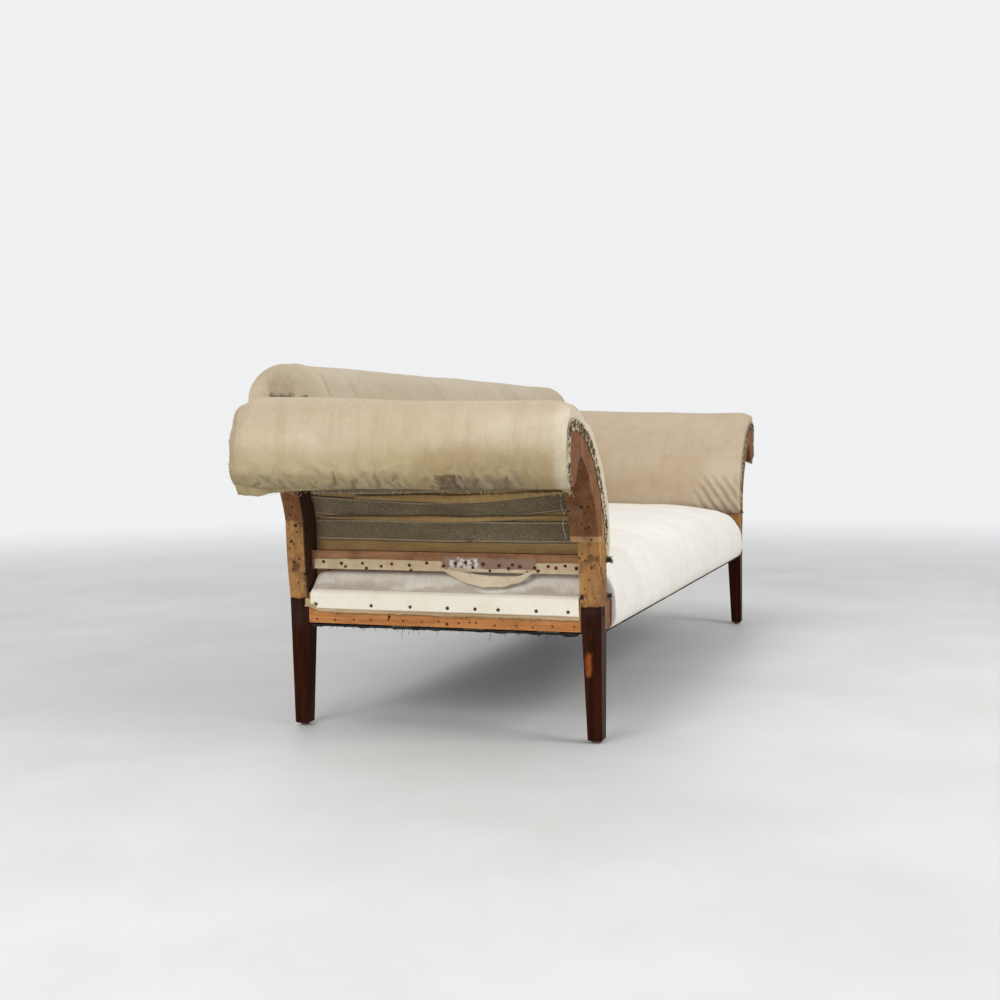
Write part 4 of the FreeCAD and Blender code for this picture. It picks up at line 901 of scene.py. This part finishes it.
cloth("back_hessian_sheet", back_sheet, (70, 90), (back_long, BACK_WIDE), "hessian", 0.0008,
      back_rails, "back_hessian")
for number in range(9):
    def back_band(s, t):
        point = web_at(s * WEB_LONG)
        lean = 0.002 * wobble(s * 3, number, 0, 15)
        return Vector(((number - 4) * 0.19 + (t - 0.5) * WEB + lean, REAR + point[0], point[1]))

    cloth(f"back_webbing_{number + 1}", back_band, (60, 6), (WEB_LONG, WEB), "webbing", 0.0012,
          back_rails, None if number else "back_webbing")

# Seat webbing, interlaced, with the springs' hessian over them

CROSS, LONG = 0.74, 2.04
spring_x = [(k - 4.5) * 0.19 for k in range(10)]
spring_y = [FRONT + 0.125 + k * 0.18 for k in range(3)]


def laced(along, crossings, number, flip):
    """The height of a band that goes over and under those that it crosses."""
    return 0.2485 + flip * 0.0012 * sum(exp(-((along - at) / 0.035) ** 2) * (1 if (number + k) % 2 else -1)
                                        for k, at in enumerate(crossings))


for number, x in enumerate(spring_x):
    def cross_band(s, t):
        y = FRONT + 0.005 + s * CROSS
        return Vector((x + (t - 0.5) * WEB, y, laced(y, spring_y, number, 1)))

    cloth(f"seat_webbing_cross_{number + 1}", cross_band, (60, 4), (CROSS, WEB), "webbing", 0.001,
          ["seat_front_rail", "seat_back_rail"], None if number else "seat_webbing")
for number, y in enumerate(spring_y):
    def long_band(s, t):
        x = -LONG / 2 + s * LONG
        return Vector((x, y + (t - 0.5) * WEB, laced(x, spring_x, number, -1)))

    cloth(f"seat_webbing_long_{number + 1}", long_band, (160, 4), (LONG, WEB), "webbing", 0.001,
          ["seat_end_rail_left", "seat_end_rail_right"])
cloth("spring_hessian_sheet", lambda s, t: Vector((-0.933 + s * 1.866, FRONT + 0.062 + t * 0.548,
                                                   0.3853 + 0.0012 * wobble(s * 20, t * 8, 0, 16))),
      (120, 40), (1.866, 0.548), "hessian", 0.0008, ["seat_coils"], "spring_hessian")

TURNS, PER_TURN = 6, 18
coils = []
for x in spring_x:
    for y in spring_y:
        start = random.random() * 6.28
        coils.append([])
        for k in range(TURNS * PER_TURN + 1):
            share = k / (TURNS * PER_TURN)
            radius = 0.0255 + 0.0175 * abs(2 * share - 1) ** 1.4
            angle = start + tau * TURNS * share
            coils[-1].append((x + radius * cos(angle), y + radius * sin(angle),
                              0.2535 + 0.1285 * (share - 0.045 * sin(tau * share))))
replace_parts(tubes("seat_coils", coils, 0.0017, "wire", 5), "seat_springs")

# The seat's slope at each end, the white band over its foot, and the raw edge under the band

SLOPE = line([(-87.6, 390), (None, (-46, 371)), (None, (-8, 329))])
SLOPE_UNDER = line([(-87, 367), (None, (-60, 356)), (None, (-30, 325)), (None, (-6, 324.6))])
SLOPE_STEPS, SLOPE_LAYERS = 14, 2
TACK_Y = [v * MM for v in (-352, -277, -186, -130, -62, 31, 130, 273)]
BAND_LOW, BAND_WIDE = FRONT + TIMBER + 0.004, REAR - TIMBER - 0.006 - (FRONT + TIMBER + 0.004)
RAW_WIDE = BAND_WIDE + 0.016
band_line, band_long = along_line(line([(-11, 331.5), (None, (-5.5, 328)), ((-0.5, 323), (0.8, 316)),
                                        (None, (1, 286.5))]))
for side, sign in SIDES.items():
    place = at_end(sign)

    def slope_place(point, y):
        return place(point, min(y, REAR - 0.084) if point[0] < -0.044 else y)

    made, steps = slab("seat_end_pad_" + side, even(np.vstack([SLOPE, [[-0.0035, 0.3248]]]), SLOPE_STEPS),
                       even(SLOPE_UNDER, SLOPE_STEPS),
                       stations(FRONT + TIMBER + 0.005, REAR - TIMBER - 0.005, 0.014), slope_place, "slope",
                       SLOPE_LAYERS)
    for vertex, (i, _, k) in zip(made.data.vertices, steps):
        if k == SLOPE_LAYERS and 0 < i < SLOPE_STEPS - 1:
            vertex.co.z += 0.0022 * wobble(vertex.co.y * 16, vertex.co.x * 20, 0, 18 + sign)
    subdivide(made)
    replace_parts(made, "seat_end_stuffing_" + side)

    def band_sheet(s, t):
        y = BAND_LOW + t * BAND_WIDE
        point = band_line(s * band_long)
        edge = 0.0014 * wobble(y * 9, 0, 0, 20 + sign) * s
        ripple = 0.0003 * wobble(y * 30, s * 3, 0, 21 + sign)
        dimple = sum(exp(-((y - tack) / 0.007) ** 2 - ((point[1] - 0.296) / 0.007) ** 2) for tack in TACK_Y)
        return place(point + np.array([0.0006 + ripple - 0.0022 * dimple, edge]), y)

    cloth("seat_band_" + side, band_sheet, (20, 260), (band_long * 2, BAND_WIDE), "band", 0.0013,
          ["seat_end_rail_" + side], "seat_end_flap_" + side, held="folded", size=(band_long, BAND_WIDE),
          area=band_long * BAND_WIDE * 1.05)

    def raw_edge(s, t):
        y = BAND_LOW - 0.002 + t * RAW_WIDE
        ragged = 0.0018 * wobble(y * 13, 0, 0, 22 + sign) + 0.0012 * wobble(y * 60, 0, 0, 23)
        corner = 0.012 * smooth(BAND_LOW + BAND_WIDE - 0.03, BAND_LOW + BAND_WIDE + 0.01, y)
        away = -0.0004 + 0.0034 * smooth(0.5, 1, s) * (1 + wobble(y * 22, s, 0, 24)) + corner * 0.2
        return place((away, 0.2975 + corner - s * 0.0195 + ragged * s), y)

    cloth("raw_edge_" + side, raw_edge, (8, 200), (0.0185, RAW_WIDE), "raw", 0.0007, ["seat_end_rail_" + side])

# Old calico on the low rail of each arm: a tacked strip and, at the near end, a torn loop

RAIL_FACE = -TIMBER + 0.026
STRIP_LOW, STRIP_WIDE = FRONT + TIMBER + 0.006, REAR - TIMBER - 0.006 - (FRONT + TIMBER + 0.006)
for side, sign in SIDES.items():
    def strip_place(s, t):
        y = STRIP_LOW + t * STRIP_WIDE
        top = 0.4035 + 0.0018 * wobble(y * 12, 0, 0, 25 + sign) + 0.0012 * wobble(y * 70, 0, 0, 26)
        if sign < 0:
            top -= 0.0155 * smooth(-0.04, -0.05, y) * smooth(-0.272, -0.262, y) \
                + 0.002 * wobble(y * 45, 1, 0, 46) * smooth(-0.04, -0.05, y) * smooth(-0.27, -0.26, y)
        curl = 0.002 * max(0, s - 0.7) / 0.3
        return at_end(sign)((RAIL_FACE + 0.0009 + curl, top - s * (top - 0.3795)), y)

    cloth("rail_strip_" + side, strip_place, (8, 170), (0.024, STRIP_WIDE), "strip", 0.0009,
          ["arm_stuff_rail_" + side], "stuff_rail_remnant_" + side)


def loop_place(s, t):
    hang = 0.017 * sin(pi * min(1, t * 0.86 + 0.02 * sin(6 * t))) ** 1.3 * (0.5 + 0.62 * t)
    wide = 0.004 + 0.027 * sin(pi * t) ** 0.8 + 0.004 * wobble(t * 9, 0, 0, 47)
    z = 0.3875 - hang * (1 - smooth(0.82, 1, t)) - s * wide * 0.85
    out = 0.002 + 0.012 * sin(pi * t) + s * 0.006 * sin(pi * t)
    return at_end(-1)((RAIL_FACE + out, z + 0.0016 * wobble(t * 22, s * 2, 0, 29)), -0.036 - t * 0.236)


cloth("torn_loop_left", loop_place, (6, 70), (0.02, 0.255), "strip", 0.0009, ["arm_stuff_rail_left"], held="hung")

# Hems under the arm rolls, frayed cloth edges on the facings

DEPTH = REAR - FRONT
HEM_Y = (-0.429, -0.403, -0.312, -0.195, -0.182, -0.13, -0.04, 0.079, 0.2, 0.262, 0.292, 0.341)
HEM_Z = (0.572, 0.583, 0.597, 0.592, 0.579, 0.58, 0.584, 0.582, 0.577, 0.572, 0.565, 0.568)
for side, sign in SIDES.items():
    def hem_place(s, t):
        y = FRONT - 0.001 + t * (DEPTH + 0.002)
        low = float(np.interp(y, HEM_Y, HEM_Z)) + 0.0015 * wobble(y * 90, 0, 0, 31)
        z = 0.59 - s * max(0.002, 0.59 - low) + 0.001 * wobble(y * 45, s * 2, 0, 33)
        return at_end(sign)((0.256 - s * 0.014 - 0.002 * wobble(y * 30, s, 0, 32), z), y)

    cloth("arm_hem_" + side, hem_place, (7, 260), (0.024, DEPTH), "hem", 0.0009, ["arm_pad_" + side], held="hung")

facing_at, facing_long = along_line(line([(-48, 440), (None, POST_INNER[0])] + POST_INNER[1:] + SCROLL_TOP))


def facing_frame(t):
    """A point of the facing's outline, with the directions along it and to its right."""
    point = facing_at(t * facing_long)
    run = facing_at(min(1, t + 0.002) * facing_long) - facing_at(max(0, t - 0.002) * facing_long)
    run /= np.linalg.norm(run)
    return point, run, np.array([run[1], -run[0]])


FRAY_STEP = 0.0135
fray_lines, fuzz_lines, tack_spots = [], [], []
for side, sign in SIDES.items():
    for end, y_face, ahead in (("front", FRONT, -1), ("rear", REAR, 1)):
        def fray_place(s, t):
            point, _, right = facing_frame(t)
            width = 0.0205 + 0.006 * wobble(t * 26, 0, 0, 34 + sign) + 0.004 * wobble(t * 120, 0, 0, 35)
            lift = 0.0018 + 0.0008 * wobble(t * 60, s * 3, 0, 36)
            return at_end(sign)(point + right * (-0.004 + s * width), y_face + ahead * lift)

        cloth(f"facing_edge_{end}_{side}", fray_place, (6, 320), (0.0205, facing_long), "rim", 0.0009,
              [f"scroll_board_{end}_{side}"])
        for k in range(int(facing_long / FRAY_STEP)):
            t = (k + 0.5 + 0.9 * wobble(k * 3.7, 0, 0, 37)) * FRAY_STEP / facing_long
            point, run, right = facing_frame(min(max(t, 0.004), 0.996))
            if k % 3 == 1:
                tack = point + right * (0.01 + 0.009 * wobble(k * 1.9, 1, 0, 38))
                tack_spots.append((at_end(sign)(tack, y_face + ahead * 0.0026), (0, ahead, 0)))
            crowd = 24 if point[1] > 0.69 and k % 2 else 0
            for _ in range(int(4 + crowd + 40 * max(0, wobble(k * 0.83, sign, y_face, 49) + 0.12))):
                out = right * random.uniform(-0.009, 0.014)
                start = point + right * 0.004 + run * jitter(0.009)
                tip = start + out + run * jitter(0.007)
                bow = (start + tip) / 2 + run * jitter(0.002)
                lines = fray_lines if random.random() < 0.5 else fuzz_lines
                lines.append([(sign * (HALF + p[0]), y_face + ahead * (0.0022 + q), p[1])
                              for p, q in ((start, 0), (bow, random.uniform(0.0005, 0.003)),
                                           (tip, random.uniform(0, 0.002)))])
domes("facing_tacks", tack_spots, 0.0028, "tack")

# Loose threads: at the hems, the raw edges and one long white one

for side, sign in SIDES.items():
    for _ in range(150):
        y = random.uniform(FRONT, REAR)
        u = random.uniform(0.228, 0.25)
        z = 0.582 - random.uniform(0, 0.006)
        down = random.uniform(0.004, 0.013)
        fray_lines.append([(sign * (HALF + u), y, z), (sign * (HALF + u - 0.002), y + jitter(0.003), z - down * 0.5),
                           (sign * (HALF + u - random.uniform(0, 0.004)), y + jitter(0.006), z - down)])
    for _ in range(110):
        y = random.uniform(FRONT + TIMBER, REAR - TIMBER)
        z = 0.281 + jitter(0.003)
        fray_lines.append([(sign * (HALF + 0.002), y, z), (sign * (HALF + 0.003), y + jitter(0.004), z - 0.003),
                           (sign * (HALF + 0.002), y + jitter(0.008), z - random.uniform(0.003, 0.008))])
tubes("fray_threads", fray_lines, 0.00045, "fray")
tubes("fray_fuzz", fuzz_lines, 0.00065, "fuzz")
tubes("white_thread", [[(-HALF + 0.004 + 0.004 * sin(k * 0.9),
                         -0.336 - 0.0005 * k + 0.0025 * sin(k * 0.55), 0.56 - 0.0052 * k)
                        for k in range(20)]], 0.0009, "thread", 5)

# Black lining below, torn along both ends

LINING_DEEP = DEPTH - 0.008
CORNER = 0.052


def lining_place(s, t):
    x = -LONG / 2 + s * LONG
    y = FRONT + 0.004 + t * LINING_DEEP
    sag = 0.0035 * sin(pi * s) * sin(pi * t)
    return Vector((x, y, 0.2462 - sag + 0.0008 * wobble(x * 9, y * 9, 0, 40)))


def clear_of_legs(made):
    """Takes the faces that run into a leg out of a sheet."""
    shape = bmesh.new()
    shape.from_mesh(made.data)
    centres = [(face, face.calc_center_median()) for face in shape.faces]
    bmesh.ops.delete(shape, context="FACES", geom=[face for face, c in centres
        if abs(c.x) > HALF - CORNER and (c.y < FRONT + CORNER or c.y > REAR - CORNER)])
    shape.to_mesh(made.data)
    shape.free()


cloth("lining", lining_place, (170, 64), (LONG, LINING_DEEP), "black", 0.0007,
      ["seat_front_rail", "seat_back_rail"], "bottoming_cloth", trim=clear_of_legs)
SHRED_LOW, SHRED_WIDE = FRONT + 0.055, DEPTH - 0.11
shreds = []
for side, sign in SIDES.items():
    def shred_place(s, t):
        y = SHRED_LOW + t * SHRED_WIDE
        deep = 0.004 + 0.006 * max(0, wobble(y * 24, 0, 0, 41 + sign)) + 0.003 * max(0, wobble(y * 110, 0, 0, 42))
        under, down = min(s, 0.4) / 0.4, max(0, s - 0.4) / 0.6
        return at_end(sign)((-0.012 + 0.006 * under + 0.002 * wobble(y * 40, s, 0, 43) * down,
                             0.2468 - down * deep), y)

    cloth("lining_shreds_" + side, shred_place, (5, 260), (0.0115, SHRED_WIDE), "black", 0.0008,
          ["lining"], held="hung")
    for k in range(46):
        y = random.uniform(SHRED_LOW, REAR - 0.055)
        x = sign * (HALF - random.uniform(0.004, 0.012))
        down = random.uniform(0.004, 0.012) if k % 7 else random.uniform(0.014, 0.026)
        lean = jitter(0.6) * down
        shreds.append([(x, y, 0.247), (x + jitter(0.002), y + lean * 0.4, 0.247 - down * 0.5),
                       (x, y + lean, 0.247 - down)])
tubes("lining_threads", shreds, 0.0005, "black_thread")

# Tacks and rusty tack heads on the near end's rails and posts, tufts of fuzz round the front tacks

OUTWARD = (-1, 0, 0)
SWEEP_Z = (0.305, 0.372, 0.44)
SWEEP_U = (0, 0.0105, 0.017)


def on_post(spots, heights, outs):
    """Tacks on a near post's outer face, which sweeps outward by outs at heights."""
    return [((-HALF - float(np.interp(z, SWEEP_Z + heights, SWEEP_U + outs)) - 0.0004, y, z), OUTWARD)
            for z, y in spots]


def tuft(centre, size, count):
    return [[centre, tuple(c + jitter(size) * 0.6 for c in centre), tuple(c + jitter(size) for c in centre)]
            for _ in range(count)]


RUST = ((0.262, 0.402), (0.215, 0.399), (0.204, 0.391), (0.16, 0.4), (0.15, 0.388), (0.112, 0.394),
    (0.085, 0.4), (0.04, 0.398), (0.036, 0.386), (-0.004, 0.404), (-0.045, 0.398), (-0.052, 0.39),
    (-0.075, 0.404), (-0.1, 0.407), (-0.118, 0.396), (-0.143, 0.404), (-0.16, 0.389), (-0.182, 0.401),
    (-0.205, 0.395), (-0.214, 0.404), (-0.232, 0.4), (-0.25, 0.387), (-0.268, 0.398), (-0.276, 0.391),
    (-0.3, 0.402), (-0.318, 0.399), (-0.34, 0.404), (-0.366, 0.399),)
domes("rail_rust_tacks", [((-HALF - RAIL_FACE - 0.0019, y, z - 0.006), OUTWARD) for y, z in RUST], 0.0041, "rust")
front_tacks = ((0.535, -0.414), (0.52, -0.402), (0.486, -0.4), (0.462, -0.412), (0.415, -0.396),
               (0.398, -0.41), (0.372, -0.404), (0.35, -0.392), (0.33, -0.415))
rear_tacks = ((0.53, 0.318), (0.51, 0.325), (0.47, 0.312), (0.44, 0.322), (0.405, 0.31), (0.38, 0.326),
              (0.348, 0.316))
domes("frame_tacks", on_post(front_tacks, (0.456, 0.52, 0.573), (0.018, 0.04, 0.079))
      + on_post(rear_tacks, (0.496, 0.53, 0.575), (0.02, 0.031, 0.052))
      + [((-HALF + 0.0012, float(y) + 0.01 * wobble(y * 40, 0, 0, 44), 0.262 + 0.006 * wobble(y * 55, 1, 0, 45)),
          OUTWARD) for y in np.linspace(-0.36, 0.27, 15)], 0.0024, "rust")
tubes("fuzz_knots", tuft((-HALF + 0.052, FRONT - 0.006, 0.412), 0.009, 70)
      + tuft((-HALF + 0.052, FRONT - 0.006, 0.33), 0.008, 40)
      + tuft((HALF - 0.04, FRONT - 0.005, 0.408), 0.008, 30), 0.0005, "fuzz")

# The view: camera at the photograph's place, pale floor, soft lamps

YAW, PITCH, ROLL = radians(18.598), radians(2.788), radians(-0.571)
ahead = Vector((cos(YAW) * cos(PITCH), sin(YAW) * cos(PITCH), -sin(PITCH)))
right = Vector((sin(YAW), -cos(YAW), 0))
up = right.cross(ahead)
right, up = cos(ROLL) * right + sin(ROLL) * up, cos(ROLL) * up - sin(ROLL) * right
lens = bpy.data.cameras.new("camera")
lens.lens, lens.sensor_width, lens.clip_end = 49.9, 36, 200
camera = bpy.data.objects.new("camera", lens)
scene.collection.objects.link(camera)
camera.matrix_world = Matrix.Translation((-4.0105, -1.1976, 0.7011)) @ Matrix(
    [[right[k], up[k], -ahead[k]] for k in range(3)]).to_4x4()
scene.camera = camera

BACKGROUND = (0.87, 0.875, 0.88, 1)
paint = Paint("floor", roughness=0.55, specular=0.2)
paint.finish(paint.mix(paint.patches(1.6, 5, 0.6, 0.3, 0.7), (0.6, 0.595, 0.58), (0.66, 0.655, 0.645)))
glow = paint.add("ShaderNodeEmission", Color=BACKGROUND)
far = paint.span(paint.vector("LENGTH", "Value", i0=paint.place()), 2.2, 7.5)
faded = paint.add("ShaderNodeMixShader", i0=far, i1=paint.shader.outputs[0], i2=glow)
paint.tree.links.new(faded, paint.tree.nodes["Material Output"].inputs[0])
bpy.ops.mesh.primitive_plane_add(size=120, location=(0, 0, 0))
floor = bpy.context.object
floor.name = "floor"
floor.data.materials.append(paint.material)

world = bpy.data.worlds.new("studio")
scene.world = world
world.use_nodes = True
sky = world.node_tree
backdrop, shown = sky.nodes["Background"], sky.nodes.new("ShaderNodeBackground")
for node, tone, strength in ((backdrop, (0.95, 0.97, 1, 1), 0.62), (shown, BACKGROUND, 1)):
    node.inputs["Color"].default_value = tone
    node.inputs["Strength"].default_value = strength
rays, either = sky.nodes.new("ShaderNodeLightPath"), sky.nodes.new("ShaderNodeMath")
either.operation = "MAXIMUM"
choose = sky.nodes.new("ShaderNodeMixShader")
for source, target in ((rays.outputs["Is Camera Ray"], either.inputs[0]),
                       (rays.outputs["Is Glossy Ray"], either.inputs[1]), (either.outputs[0], choose.inputs[0]),
                       (backdrop.outputs[0], choose.inputs[1]), (shown.outputs[0], choose.inputs[2]),
                       (choose.outputs[0], sky.nodes["World Output"].inputs[0])):
    sky.links.new(source, target)


def lamp(name, place, target, size, power, tint):
    """A soft square lamp that looks at a point."""
    data = bpy.data.lights.new(name, "AREA")
    data.shape, data.size, data.energy, data.color = "SQUARE", size, power, tint
    made = bpy.data.objects.new(name, data)
    scene.collection.objects.link(made)
    made.location = place
    made.rotation_euler = (Vector(target) - Vector(place)).to_track_quat("-Z", "Y").to_euler()


lamp("key", (-1.2, -4.6, 3.4), (0, 0, 0.4), 2.6, 150, (1, 0.985, 0.96))
lamp("fill", (-5, 0.8, 2.6), (-0.6, 0, 0.5), 2.4, 112, (0.985, 0.99, 1))
lamp("top", (1, 1.5, 4.2), (0, 0, 0.4), 3, 42, (1, 1, 1))
scene.view_settings.view_transform = "Standard"
